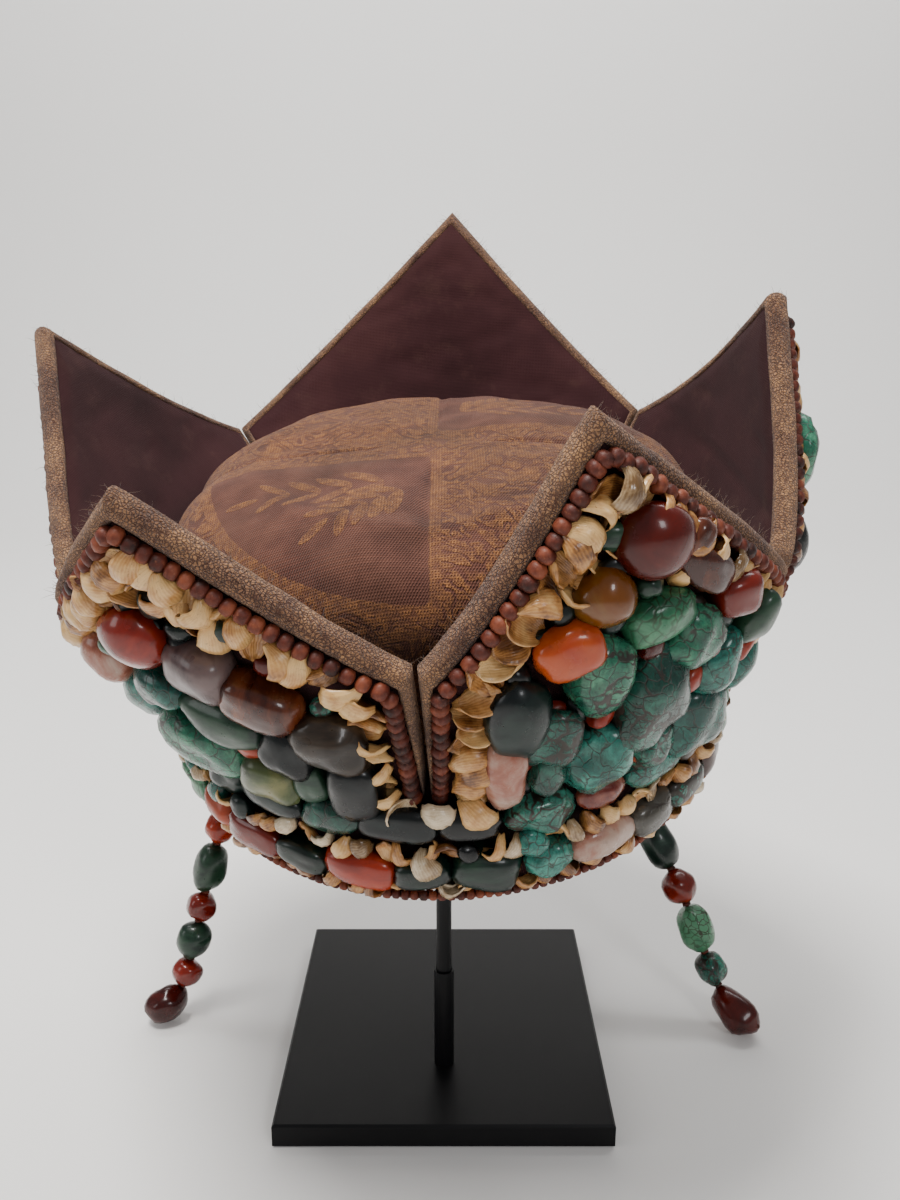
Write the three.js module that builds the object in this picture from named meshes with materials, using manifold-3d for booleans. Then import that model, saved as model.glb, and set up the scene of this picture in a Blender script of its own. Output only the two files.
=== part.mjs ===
import * as THREE from 'three';
import Module from 'manifold-3d';

const wasm = await Module();
wasm.setup();

// Lengths are in millimetres and angles in degrees. +Z is up and the front faces -Y.
const GAP = 0.3;
const VALLEY_GAP = 0.4;
const SEAM_GAP = 0.8;
const LAYER_GAP = 0.5;

// Display stand
const PLATE_SIDE = 130;
const PLATE_THICK = 10;
const PLATE_CHAMFER = 0.8;
const SLEEVE_DIAMETER = 8;
const SLEEVE_HEIGHT = 43;
const SLEEVE_WALL = 0.7;
const ROD_FORWARD = 30;
const PAD_RADIUS = 26;
const PAD_THICK = 7;

// Crown: turn 0 is the front, and turns grow towards +X
const CROWN_CENTRE = [3, -8, 152];
const CROWN_TILT = 14;
const CROWN_ROLL = -3;
const HEAD_RADIUS = 88;
const BAND_WALL = 5;
const BAND_HEIGHT = 41;
const CAP_WALL = 2.5;
const CAP_HEIGHT = 115;
const CAP_FOOT = 3;
const LOBE_RISE = 150;
const LOBE_THICK = 6;
const BINDING_WIDTH = 8;
const BINDING_THICK = 7.5;
const BINDING_PITCH = 13;
const BACKING = 2;
const STONE_BED = 0.8;
const STONE = 20;
const STONE_PROUD = 0.25;
const COURSE_STONE = 1.2 * STONE;
const BAND_STONE_HEIGHT = 9;
const BAND_FILL = 0.9;
const CHIP_WIDTH = 10;
const CHIP_HEIGHT = 5;
const CHIP_PITCH = 7;
const TIP_WIDTH = 6;
const ROUND_SEGMENTS = 36;
const SIMPLIFY = 0.2;

// Bead strings
const THREAD = 2;
const BEAD = 15;
const BEAD_SIDES = 10;

const LOBE_RADIUS = HEAD_RADIUS + 2 * GAP;
const LOBE_FOOT = BAND_HEIGHT + GAP;
const BAND_RADIUS = HEAD_RADIUS + BAND_WALL;
const STONE_FLOOR = LOBE_THICK + LAYER_GAP;
const ROD_DIAMETER = SLEEVE_DIAMETER - 2 * SLEEVE_WALL - 2 * GAP;

// Valleys between lobes: turn, radius as a share of LOBE_RADIUS, height as a share of LOBE_RISE
const VALLEYS = [
  [-3, 1.135, 0.59],
  [69, 1.285, 0.57],
  [141, 1.59, 0.58],
  [218, 1.72, 0.56],
  [285, 1.42, 0.54],
];

// Tips of the lobes, each one between its valley and the next, in the same shares
const LOBES = [
  { name: 'front_right', tip: [25, 1.1, 1.02] },
  { name: 'side_right', tip: [105, 1.39, 1.01] },
  { name: 'back', tip: [177, 1.94, 1.11] },
  { name: 'side_left', tip: [249, 1.77, 0.99] },
  { name: 'front_left', tip: [321, 1.37, 0.94] },
];

// Stones of the two front lobes: place across as a share of the half width there, place up as a
// share of the lobe's height, length and breadth as shares of STONE, and the turn of the length
const FRONT_STONES = {
  front_right: [
    [-0.06, 0.69, 1.1, 1.05, 0], [0.18, 0.59, 1, 0.6, -35], [0.39, 0.49, 0.65, 0.6, 0],
    [0.63, 0.37, 1.05, 0.65, 80], [-0.27, 0.57, 0.85, 0.8, 30], [-0.02, 0.49, 1.1, 0.7, 15],
    [-0.43, 0.46, 0.9, 0.7, 20], [-0.27, 0.37, 1.2, 0.9, 80], [0.18, 0.41, 1, 0.85, 70],
    [0.47, 0.26, 1.1, 0.85, 75], [0.02, 0.24, 1.6, 1.2, 75], [0.47, 0.06, 1.5, 1.25, 80],
    [-0.59, 0.29, 1.25, 0.8, 85], [-0.45, 0.2, 0.85, 0.65, 80], [-0.22, 0.08, 1.2, 1, 85],
    [-0.64, 0.09, 1.3, 0.55, 88], [-0.46, 0.06, 0.7, 0.4, 80], [0.12, 0.05, 0.8, 0.7, 10],
    [0.78, 0.18, 0.95, 0.7, 80], [0.78, 0.02, 0.8, 0.7, 0],
  ],
  front_left: [
    [-0.14, 0.56, 1.2, 1.05, 0], [-0.51, 0.41, 1, 0.85, 40], [0.14, 0.47, 1.15, 0.8, -8],
    [0.39, 0.37, 1.2, 0.75, -15], [0.63, 0.25, 1.05, 0.85, -10], [-0.2, 0.34, 1, 0.65, -10],
    [0.13, 0.25, 1.5, 0.8, -8], [-0.15, 0.12, 1.6, 1.1, -15], [0.43, 0.18, 0.85, 0.8, 0],
    [0.27, 0.04, 1.1, 0.9, 0], [0.68, 0.06, 1.2, 0.75, 85], [0.5, 0.06, 0.75, 0.45, 85],
    [-0.6, 0.2, 1, 0.8, 60], [-0.62, 0.04, 0.95, 0.85, 0],
  ],
};

// A pebble's rings from its top down: radius as a share of half its width, and height
const PEBBLE_SIDES = 6;
const PEBBLE_RINGS = [[0.66, 0.85], [1, 0]];

// Courses of stones on the other lobes: stretch and lift of one stone after another, as shares
const COURSE_LENGTHS = [1.15, 0.9, 1.05, 0.8, 1.2, 0.95];
const COURSE_BREADTHS = [0.95, 0.8, 1.1, 0.85, 1];
const COURSE_LIFTS = [0.05, -0.08, 0.1, -0.04];

// Two courses round the brow band: first turn, count, height as a share of BAND_HEIGHT, and the
// stones' breadth as a share of STONE
const BAND_COURSES = [
  { first: -8, count: 30, height: 0.77, breadth: 0.72 },
  { first: -16, count: 32, height: 0.38, breadth: 0.66 },
];

// The strings hang from the band's underside at these turns, then pass the chosen points down to
// where the last bead lies
const STRING_TURNS = { left: -115, right: 148 };
const STRING_ROUTES = {
  left: [[-90, 31, 128], [-98, 28, 95], [-108, 20, 55], [-119, 12, 14], [-133, 4, 7]],
  right: [[64, 62, 142], [80, 52, 110], [105, 25, 60], [124, 6, 15], [137, -6, 7]],
};
// Each bead's length as a share of BEAD, in turn
const STRING_BEADS = [0.85, 0.65, 1.05, 1.15, 0.8, 1.25, 0.75, 1, 0.7, 1.1];
const BEAD_ROUNDNESS = 0.95;

const COLOURS = {
  stand: 0x0d0d0e, cap: 0x7a5c4c, cloth: 0x463237, binding: 0x7d6450, stones: 0x3f6a5f, beads: 0x8f3f2c,
};

const radians = THREE.MathUtils.degToRad;
const vector = (x, y, z) => new THREE.Vector3(x, y, z);

function polar(turn, radius, height) {
  return vector(radius * Math.sin(radians(turn)), -radius * Math.cos(radians(turn)), height);
}

function material(colour, roughness, metalness = 0) {
  return new THREE.MeshStandardMaterial({ color: colour, roughness, metalness, flatShading: true });
}

// Solid modelling

function solidOf(geometry) {
  const index = geometry.index ? geometry.index.array : geometry.attributes.position.array.map((_, i) => i);
  const mesh = new wasm.Mesh({
    numProp: 3,
    vertProperties: new Float32Array(geometry.attributes.position.array),
    triVerts: new Uint32Array(index.slice(0, geometry.index ? index.length : geometry.attributes.position.count)),
  });
  mesh.merge();
  const solid = new wasm.Manifold(mesh);
  if (solid.volume() <= 0) throw new Error('a solid is inside out or empty');
  return solid;
}

function geometryOf(solid) {
  const mesh = solid.getMesh();
  const geometry = new THREE.BufferGeometry();
  geometry.setAttribute('position', new THREE.BufferAttribute(new Float32Array(mesh.vertProperties), 3));
  geometry.setIndex(new THREE.BufferAttribute(new Uint32Array(mesh.triVerts), 1));
  geometry.computeVertexNormals();
  return geometry;
}

function united(solids) {
  return solids.reduce((all, solid) => all.add(solid));
}

function withoutCavities(solid) {
  return united(solid.decompose().filter((piece) => piece.volume() > 0));
}

// A closed skin over a grid of points, whose rows are rings (closed) around the solid
function ringSolid(rings) {
  const size = rings[0].length;
  const points = rings.flat();
  const faces = [];
  for (let i = 0; i + 1 < rings.length; i++) {
    for (let j = 0; j < size; j++) {
      const a = i * size + j;
      const b = i * size + (j + 1) % size;
      faces.push(a, b, b + size, a, b + size, a + size);
    }
  }
  const last = (rings.length - 1) * size;
  for (let j = 1; j + 1 < size; j++) {
    faces.push(0, j + 1, j);
    faces.push(last, last + j, last + j + 1);
  }
  return skin(points, faces);
}

function skin(points, faces) {
  const geometry = new THREE.BufferGeometry();
  geometry.setAttribute('position', new THREE.Float32BufferAttribute(points.flatMap((p) => p.toArray()), 3));
  geometry.setIndex(faces);
  const flipped = signedVolume(points, faces) < 0;
  if (flipped) geometry.setIndex(faces.slice().reverse());
  return solidOf(geometry);
}

function signedVolume(points, faces) {
  let sum = 0;
  for (let i = 0; i < faces.length; i += 3) {
    const [a, b, c] = [points[faces[i]], points[faces[i + 1]], points[faces[i + 2]]];
    sum += a.dot(vector(0, 0, 0).crossVectors(b, c));
  }
  return sum;
}

function ellipsoid(length, breadth, height) {
  const geometry = new THREE.SphereGeometry(0.5, BEAD_SIDES, BEAD_SIDES / 2);
  geometry.scale(length, breadth, height);
  return solidOf(geometry);
}

// A pebble that stands on z = 0, with its length along X
function pebble(length, breadth, height) {
  const profile = [[0, 1], ...PEBBLE_RINGS, [0, 0]].map(([r, h]) => new THREE.Vector2(r, h));
  const geometry = new THREE.LatheGeometry(profile.reverse(), PEBBLE_SIDES);
  geometry.rotateX(Math.PI / 2);
  geometry.scale(length / 2, breadth / 2, height);
  return outwardSolid(geometry);
}

function lathe(profile) {
  const geometry = new THREE.LatheGeometry(profile.map(([r, h]) => new THREE.Vector2(r, h)), ROUND_SEGMENTS);
  geometry.rotateX(Math.PI / 2);
  return outwardSolid(geometry);
}

function outwardSolid(geometry) {
  const position = geometry.attributes.position;
  const points = [];
  for (let i = 0; i < position.count; i++) points.push(vector().fromBufferAttribute(position, i));
  const faces = Array.from(geometry.index.array);
  if (signedVolume(points, faces) < 0) geometry.setIndex(faces.reverse());
  return solidOf(geometry);
}

function closedLathe(profile) {
  return lathe([...profile, profile[0]]);
}

function cylinder(diameter, height, sides = 24) {
  const geometry = new THREE.CylinderGeometry(diameter / 2, diameter / 2, height, sides);
  geometry.rotateX(Math.PI / 2);
  geometry.translate(0, 0, height / 2);
  return solidOf(geometry);
}

function placed(solid, origin, x, y, z) {
  const matrix = new THREE.Matrix4().makeBasis(x, y, z).setPosition(origin);
  return solid.transform(matrix.elements);
}

// Lobe surface: a flat pattern of five corners that is curved on to the crown

class Lobe {
  constructor(index) {
    const { name, tip } = LOBES[index];
    const [turnA, radiusA, heightA] = VALLEYS[index];
    const [turnNext, radiusB, heightB] = VALLEYS[(index + 1) % VALLEYS.length];
    const turnB = turnNext < turnA ? turnNext + 360 : turnNext;
    const margin = THREE.MathUtils.radToDeg(VALLEY_GAP / LOBE_RADIUS);
    this.name = name;
    this.turns = [turnA + margin, turnB - margin];
    this.feet = this.turns.map((turn) => polar(turn, LOBE_RADIUS, LOBE_FOOT));
    this.shoulders = [
      polar(this.turns[0], radiusA * LOBE_RADIUS, heightA * LOBE_RISE),
      polar(this.turns[1], radiusB * LOBE_RADIUS, heightB * LOBE_RISE),
    ];
    this.tip = polar(tip[0], tip[1] * LOBE_RADIUS, tip[2] * LOBE_RISE);
    this.lean = 2 * (tip[0] - turnA) / (turnB - turnA) - 1;
    this.outward = polar((turnA + turnB) / 2, 1, 0);
    this.bow = LOBE_RADIUS * (1 - Math.cos(radians((turnB - turnA) / 2)));
    this.side = (this.feet[0].distanceTo(this.shoulders[0]) + this.feet[1].distanceTo(this.shoulders[1])) / 2;
    const middle = this.shoulders[0].clone().add(this.shoulders[1]).multiplyScalar(0.5);
    middle.addScaledVector(this.outward, this.bow * 0.6);
    this.reach = 1 + this.tip.distanceTo(middle) / this.side;
    this.height = this.side * this.reach;
    this.shift = vector(0, 0, 0);
    this.shift = this.tip.clone().sub(this.surface(this.lean, this.reach));
  }

  surface(across, up) {
    const left = this.feet[0].clone().lerp(this.shoulders[0], up);
    const right = this.feet[1].clone().lerp(this.shoulders[1], up);
    const point = left.lerp(right, (across + 1) / 2);
    point.addScaledVector(this.outward, this.bow * (1 - across * across) * Math.max(0.12, 1 - 0.42 * up));
    const past = Math.max(0, (up - 1) / (this.reach - 1));
    return point.addScaledVector(this.shift, past ** 1.3);
  }

  halfWidth(y) {
    const up = y / this.side;
    const left = this.feet[0].clone().lerp(this.shoulders[0], up);
    return left.distanceTo(this.feet[1].clone().lerp(this.shoulders[1], up)) / 2;
  }

  point(x, y) {
    return this.surface(x / this.halfWidth(y), y / this.side);
  }

  // Place on the lobe's inner face with its two directions and the outward normal
  frame(x, y) {
    const alongX = this.point(x + 0.5, y).sub(this.point(x - 0.5, y)).normalize();
    const rise = this.point(x, y + 0.5).sub(this.point(x, y - 0.5));
    const normal = vector(0, 0, 0).crossVectors(alongX, rise).normalize();
    const alongY = vector(0, 0, 0).crossVectors(normal, alongX);
    return { origin: this.point(x, y), x: alongX, y: alongY, z: normal };
  }

  at(x, y, z) {
    const { origin, z: normal } = this.frame(x, y);
    return origin.addScaledVector(normal, z);
  }

  // The pattern's outline from the left foot over the tip to the right foot
  outline() {
    const tipX = this.lean * this.halfWidth(this.height);
    return [
      [-this.halfWidth(0), 0],
      [-this.halfWidth(this.side), this.side],
      [tipX, this.height],
      [this.halfWidth(this.side), this.side],
      [this.halfWidth(0), 0],
    ];
  }

  // The outline moved inward, mitred at its corners
  inset(distance) {
    const corners = this.outline();
    return corners.map(([x, y], i) => {
      const before = i > 0 ? inward(corners[i - 1], corners[i]) : inward(corners[0], corners[1]);
      const after = i < 4 ? inward(corners[i], corners[i + 1]) : before;
      const sum = [before[0] + after[0], before[1] + after[1]];
      const scale = distance / (1 + before[0] * after[0] + before[1] * after[1]);
      return [x + sum[0] * scale, y + sum[1] * scale];
    });
  }
}

function inward(a, b) {
  const length = Math.hypot(b[0] - a[0], b[1] - a[1]);
  return [(b[1] - a[1]) / length, -(b[0] - a[0]) / length];
}

function crossing(a, b, y) {
  return a[0] + (b[0] - a[0]) * (y - a[1]) / (b[1] - a[1]);
}

// A sheet of the lobe inside the inset outline, from one depth to another
function lobeSheet(lobe, distance, inner, outer, foot = 0) {
  const [footLeft, left, tip, right, footRight] = lobe.inset(distance);
  const edges = (y) => [
    y < left[1] ? crossing(footLeft, left, y) : crossing(left, tip, y),
    y < right[1] ? crossing(footRight, right, y) : crossing(right, tip, y),
  ];
  const across = 6;
  const levels = [];
  const bend = (left[1] + right[1]) / 2;
  const slope = (tip[1] - bend) / (right[0] - left[0]);
  const top = tip[1] - slope * TIP_WIDTH;
  for (let i = 0; i < 3; i++) levels.push(foot + (bend - foot) * i / 3);
  for (let i = 0; i <= 5; i++) levels.push(bend + (top - bend) * i / 5);
  const rings = levels.map((y) => {
    const [x0, x1] = edges(y);
    const xs = Array.from({ length: across + 1 }, (_, j) => x0 + (x1 - x0) * j / across);
    return [...xs.map((x) => lobe.at(x, y, inner)), ...xs.reverse().map((x) => lobe.at(x, y, outer))];
  });
  return gridSolid(rings, across + 1);
}

// A sheet's rings run along its inner side and back along its outer side. Both sides split their
// squares along the same diagonal, so layered sheets stay apart where they twist.
function gridSolid(rings, count) {
  const size = rings[0].length;
  const faces = [];
  for (let i = 0; i + 1 < rings.length; i++) {
    for (let j = 0; j < size; j++) {
      const a = i * size + j;
      const b = i * size + (j + 1) % size;
      if (j < count) faces.push(a, b, b + size, a, b + size, a + size);
      else faces.push(a, b, a + size, b, b + size, a + size);
    }
  }
  for (const [start, order] of [[0, [0, 2, 1, 0, 3, 2]], [(rings.length - 1) * size, [0, 1, 2, 0, 2, 3]]]) {
    for (let j = 0; j + 1 < count; j++) {
      const quad = [start + j, start + j + 1, start + size - 2 - j, start + size - 1 - j];
      faces.push(...order.map((corner) => quad[corner]));
    }
  }
  return skin(rings.flat(), faces);
}

// A ribbon along the lobe's edge: section(i) gives its points as [distance inward, depth]
function edgeRibbon(lobe, pitch, section) {
  const corners = lobe.inset(0);
  const stops = [];
  for (let i = 0; i < 4; i++) {
    const length = Math.hypot(corners[i + 1][0] - corners[i][0], corners[i + 1][1] - corners[i][1]);
    const steps = Math.max(2, Math.round(length / pitch));
    for (let j = 0; j < steps; j++) stops.push([i, j / steps]);
  }
  stops.push([3, 1]);
  const rings = stops.map(([i, t], k) => section(k).map(([inwardBy, depth]) => {
    const inset = lobe.inset(inwardBy);
    const a = i === 0 ? [crossing(inset[0], inset[1], 0), 0] : inset[i];
    const b = i === 3 ? [crossing(inset[4], inset[3], 0), 0] : inset[i + 1];
    return lobe.at(a[0] + (b[0] - a[0]) * t, a[1] + (b[1] - a[1]) * t, depth);
  }));
  return ringSolid(rings);
}

// Lobe, binding and stones

function bindingSolid(lobe) {
  const bevel = 1.5;
  return edgeRibbon(lobe, BINDING_PITCH, () => [
    [0, 0], [0, BINDING_THICK - bevel], [bevel, BINDING_THICK],
    [BINDING_WIDTH - bevel, BINDING_THICK], [BINDING_WIDTH, BINDING_THICK - bevel], [BINDING_WIDTH, 0],
  ]);
}

function lobeSolid(lobe) {
  return lobeSheet(lobe, BINDING_WIDTH + SEAM_GAP, 0, LOBE_THICK);
}

function stoneOn(lobe, x, y, length, breadth, turn) {
  const height = STONE_PROUD * STONE + 0.3 * breadth;
  const frame = lobe.frame(x, y);
  const along = frame.x.clone().applyAxisAngle(frame.z, radians(turn));
  const beside = vector(0, 0, 0).crossVectors(frame.z, along);
  const foot = frame.origin.clone().addScaledVector(frame.z, STONE_FLOOR + STONE_BED * BACKING);
  return placed(pebble(length, breadth, height), foot, along, beside, frame.z);
}

function listedStones(lobe) {
  return FRONT_STONES[lobe.name].map(([across, up, length, breadth, turn]) => {
    const y = up * lobe.height;
    return stoneOn(lobe, across * lobe.halfWidth(y), y, length * STONE, breadth * STONE, turn);
  });
}

function coursedStones(lobe) {
  const field = lobe.inset(BINDING_WIDTH + CHIP_WIDTH);
  const [footLeft, left, tip, right, footRight] = field;
  const rise = 0.92 * COURSE_STONE;
  const stones = [];
  let number = 0;
  for (let y = 0.45 * rise; y < tip[1] - 0.3 * STONE; y += rise) {
    const x0 = y < left[1] ? crossing(footLeft, left, y) : crossing(left, tip, y);
    const x1 = y < right[1] ? crossing(footRight, right, y) : crossing(right, tip, y);
    const count = Math.max(1, Math.round((x1 - x0) / COURSE_STONE));
    const step = Math.max(x1 - x0, 0.7 * STONE) / count;
    for (let i = 0; i < count; i++, number++) {
      const x = (x0 + x1) / 2 + (i - (count - 1) / 2) * step;
      const length = step * COURSE_LENGTHS[number % COURSE_LENGTHS.length];
      const breadth = rise * COURSE_BREADTHS[number % COURSE_BREADTHS.length];
      const lift = rise * COURSE_LIFTS[number % COURSE_LIFTS.length];
      stones.push(stoneOn(lobe, x, y + lift, length, breadth, 12 * (number % 3 - 1)));
    }
  }
  return stones;
}

// The row of shell chips inside the binding, as a ridge that dips between chips
function chipRidge(lobe) {
  const start = BINDING_WIDTH + SEAM_GAP;
  const foot = STONE_FLOOR + STONE_BED * BACKING;
  return edgeRibbon(lobe, 2 * CHIP_PITCH, (k) => {
    const top = STONE_FLOOR + BACKING + CHIP_HEIGHT * (k % 2 ? 1 : 0.7);
    return [
      [start, foot], [start + 1, top], [start + CHIP_WIDTH, top - 1.5], [start + CHIP_WIDTH, foot],
    ];
  });
}

// Cut off flat where the lobe stands on the brow band
function seated(solid) {
  return solid.trimByPlane([0, 0, 1], LOBE_FOOT);
}

function stoneField(lobe) {
  const stones = FRONT_STONES[lobe.name] ? listedStones(lobe) : coursedStones(lobe);
  const backing = lobeSheet(lobe, BINDING_WIDTH + SEAM_GAP, STONE_FLOOR, STONE_FLOOR + BACKING);
  const field = united([backing, chipRidge(lobe), ...stones]).simplify(SIMPLIFY);
  return withoutCavities(seated(field));
}

// Band, cap and band stones

function bandSolid() {
  return closedLathe([
    [HEAD_RADIUS, 0], [BAND_RADIUS, 0], [BAND_RADIUS, BAND_HEIGHT], [HEAD_RADIUS, BAND_HEIGHT],
  ]);
}

// Outer profile of the cap: radius as a share of HEAD_RADIUS and height as a share of CAP_HEIGHT
const CAP_PROFILE = [[1.02, 0.5], [1.04, 0.7], [0.98, 0.85], [0.78, 0.95], [0.38, 0.99], [0, 1]];

function capOuter(less = 0) {
  return CAP_PROFILE.map(([r, h]) => [Math.max(0, r * HEAD_RADIUS - less), h * CAP_HEIGHT - less]);
}

function capSolid() {
  const outer = HEAD_RADIUS - GAP;
  const step = BAND_HEIGHT;
  return lathe([
    ...capOuter(CAP_WALL).reverse(),
    [outer - CAP_WALL, step], [outer - CAP_WALL, CAP_FOOT], [outer, CAP_FOOT], [outer, step],
    ...capOuter(),
  ]);
}

function bandStones() {
  const floor = BAND_RADIUS + GAP;
  const backing = closedLathe([
    [floor, 1], [floor + BACKING + 3, 1.5], [floor + BACKING + 5, 6], [floor + BACKING + 1, 10],
    [floor + BACKING + 1, BAND_HEIGHT - 1], [floor, BAND_HEIGHT - 1],
  ]);
  const stones = BAND_COURSES.flatMap((course) => Array.from({ length: course.count }, (_, i) => {
    const turn = course.first + 360 * i / course.count;
    const pitch = 2 * Math.PI * floor / course.count;
    const breadth = course.breadth * STONE * COURSE_BREADTHS[i % COURSE_BREADTHS.length];
    const length = pitch * BAND_FILL * COURSE_LENGTHS[i % COURSE_LENGTHS.length];
    const out = polar(turn, 1, 0);
    const along = polar(turn + 90, 1, 0);
    const foot = polar(turn, floor + STONE_BED * BACKING, course.height * BAND_HEIGHT);
    return placed(pebble(length, breadth, BAND_STONE_HEIGHT), foot, along, vector(0, 0, 1), out);
  }));
  return withoutCavities(united([backing, ...stones]).simplify(SIMPLIFY));
}

// Strings

function beadString(side) {
  const start = polar(STRING_TURNS[side], HEAD_RADIUS + BAND_WALL / 2, -2 * GAP).applyMatrix4(crownMatrix());
  const points = [start, ...STRING_ROUTES[side].map((p) => vector(...p))];
  const curve = new THREE.CatmullRomCurve3(points, false, 'centripetal');
  const total = curve.getLength();
  const sizes = STRING_BEADS.map((share) => share * BEAD);
  const used = sizes.reduce((sum, size) => sum + size);
  const space = (total - used) / sizes.length;
  const section = new THREE.Shape().absarc(0, 0, THREAD / 2, 0, 2 * Math.PI);
  const thread = solidOf(new THREE.ExtrudeGeometry(section, { steps: 16, extrudePath: curve, curveSegments: 2 }));
  let travelled = space / 2;
  const beads = sizes.map((size) => {
    const share = (travelled + size / 2) / total;
    travelled += size + space;
    const along = curve.getTangentAt(share);
    const beside = vector(0, 0, 0).crossVectors(along, vector(0, 1, 0)).normalize();
    const third = vector(0, 0, 0).crossVectors(along, beside);
    const round = ellipsoid(size, BEAD * BEAD_ROUNDNESS, BEAD * BEAD_ROUNDNESS);
    return placed(round, curve.getPointAt(share), along, beside, third);
  });
  return united([thread, ...beads]);
}

// Stand

function plateSolid() {
  const half = PLATE_SIDE / 2 - PLATE_CHAMFER;
  const shape = new THREE.Shape([
    new THREE.Vector2(-half, -half), new THREE.Vector2(half, -half),
    new THREE.Vector2(half, half), new THREE.Vector2(-half, half),
  ]);
  const geometry = new THREE.ExtrudeGeometry(shape, {
    depth: PLATE_THICK - 2 * PLATE_CHAMFER, bevelSize: PLATE_CHAMFER, bevelThickness: PLATE_CHAMFER, bevelSegments: 1,
  });
  geometry.translate(0, 0, PLATE_CHAMFER);
  return solidOf(geometry);
}

function crownMatrix() {
  return new THREE.Matrix4().compose(
    vector(...CROWN_CENTRE),
    new THREE.Quaternion().setFromEuler(new THREE.Euler(radians(CROWN_TILT), radians(CROWN_ROLL), 0)),
    vector(1, 1, 1),
  );
}

// Rod with the pad that carries the cap under its dome
function postSolid() {
  const ceiling = capOuter(CAP_WALL + GAP).reverse().filter(([r]) => r < PAD_RADIUS * 1.2);
  const top = ceiling[0][1];
  const shape = lathe([
    [0, top - PAD_THICK], [PAD_RADIUS, top - PAD_THICK - 2], [PAD_RADIUS, top - 2.5], [0, top - 0.2],
  ]);
  const pad = shape.transform(crownMatrix().elements);
  const start = PLATE_THICK + GAP;
  const box = pad.boundingBox();
  const middle = (box.min[2] + box.max[2]) / 2;
  const rod = cylinder(ROD_DIAMETER, middle - start).translate([0, -ROD_FORWARD, start]);
  return pad.add(rod);
}

function sleeveSolid() {
  const bore = cylinder(SLEEVE_DIAMETER - 2 * SLEEVE_WALL, SLEEVE_HEIGHT + 2).translate([0, 0, -1]);
  return cylinder(SLEEVE_DIAMETER, SLEEVE_HEIGHT).subtract(bore)
    .translate([0, -ROD_FORWARD, PLATE_THICK + GAP]);
}

// Assembly

const part = new THREE.Group();
const crown = new THREE.Group();
crown.position.set(...CROWN_CENTRE);
crown.rotation.set(radians(CROWN_TILT), radians(CROWN_ROLL), 0);
part.add(crown);

function addMesh(group, name, solid, meshMaterial) {
  const mesh = new THREE.Mesh(geometryOf(solid), meshMaterial);
  mesh.name = name;
  group.add(mesh);
}

const standMaterial = material(COLOURS.stand, 0.35, 0.4);
const clothMaterial = material(COLOURS.cloth, 0.9);
const capMaterial = material(COLOURS.cap, 0.85);
const bindingMaterial = material(COLOURS.binding, 0.9);
const stoneMaterial = material(COLOURS.stones, 0.45);
const beadMaterial = material(COLOURS.beads, 0.4);

addMesh(part, 'stand_base', plateSolid(), standMaterial);
addMesh(part, 'stand_sleeve', sleeveSolid(), standMaterial);
addMesh(part, 'stand_post', postSolid(), standMaterial);
addMesh(crown, 'cap', capSolid(), capMaterial);
addMesh(crown, 'brow_band', bandSolid(), clothMaterial);
addMesh(crown, 'stones_brow', bandStones(), stoneMaterial);
LOBES.forEach((_, index) => {
  const lobe = new Lobe(index);
  addMesh(crown, `lobe_${lobe.name}`, seated(lobeSolid(lobe)), clothMaterial);
  addMesh(crown, `binding_${lobe.name}`, seated(bindingSolid(lobe)), bindingMaterial);
  addMesh(crown, `stones_${lobe.name}`, stoneField(lobe), stoneMaterial);
});
for (const side of Object.keys(STRING_ROUTES)) {
  addMesh(part, `bead_string_${side}`, beadString(side), beadMaterial);
}

export default part;
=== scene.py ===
import math
import random

import bmesh
import bpy
from mathutils import Matrix, Vector, noise


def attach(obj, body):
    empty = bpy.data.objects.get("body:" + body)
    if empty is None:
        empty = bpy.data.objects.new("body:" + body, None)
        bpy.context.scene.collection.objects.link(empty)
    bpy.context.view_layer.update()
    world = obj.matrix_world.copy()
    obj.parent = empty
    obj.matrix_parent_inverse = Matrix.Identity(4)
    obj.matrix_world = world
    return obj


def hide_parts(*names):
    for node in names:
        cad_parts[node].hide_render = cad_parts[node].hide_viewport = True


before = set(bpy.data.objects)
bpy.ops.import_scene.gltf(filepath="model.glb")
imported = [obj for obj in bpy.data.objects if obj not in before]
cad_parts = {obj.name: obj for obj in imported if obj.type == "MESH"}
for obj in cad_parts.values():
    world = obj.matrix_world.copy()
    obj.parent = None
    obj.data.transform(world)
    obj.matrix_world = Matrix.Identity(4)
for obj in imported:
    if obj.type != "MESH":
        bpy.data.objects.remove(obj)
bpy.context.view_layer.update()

# Lengths below are in millimetres, as in the frame's own source, and meshes are written in metres
MM = 0.001
GAP = 0.3

# Crown: turn 0 is the front, and turns grow towards +X
CROWN_CENTRE = Vector((3, -8, 152))
CROWN_TILT = 14
CROWN_ROLL = -3
HEAD_RADIUS = 88
BAND_WALL = 5
BAND_HEIGHT = 41
CAP_WALL = 2.5
CAP_HEIGHT = 115
CAP_FOOT = 3
LOBE_RISE = 150
LOBE_THICK = 6
BINDING_WIDTH = 4.8
BINDING_SIDE = 0.5
BINDING_TAPER = 0.12
BINDING_THICK = 6.7
STONE = 20
STONE_PROUD = 0.25
STONE_FLOOR = LOBE_THICK + 2.1
LEAST_DEPTH = 2.5
CHIP_WIDTH = 10
CHIP_PITCH = 5.8
SHELL_LINES = 440
TIP_SHELL = 20
FILLER_GAPS = 0.45
FILLER_PITCH = 9
TIP_WIDTH = 6
SEED_BEAD = 4.9
RIM_BEAD = 3.3

LOBE_RADIUS = HEAD_RADIUS + 2 * GAP
LOBE_FOOT = BAND_HEIGHT + GAP
BAND_RADIUS = HEAD_RADIUS + BAND_WALL
VALLEY_GAP = 0.4

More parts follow.
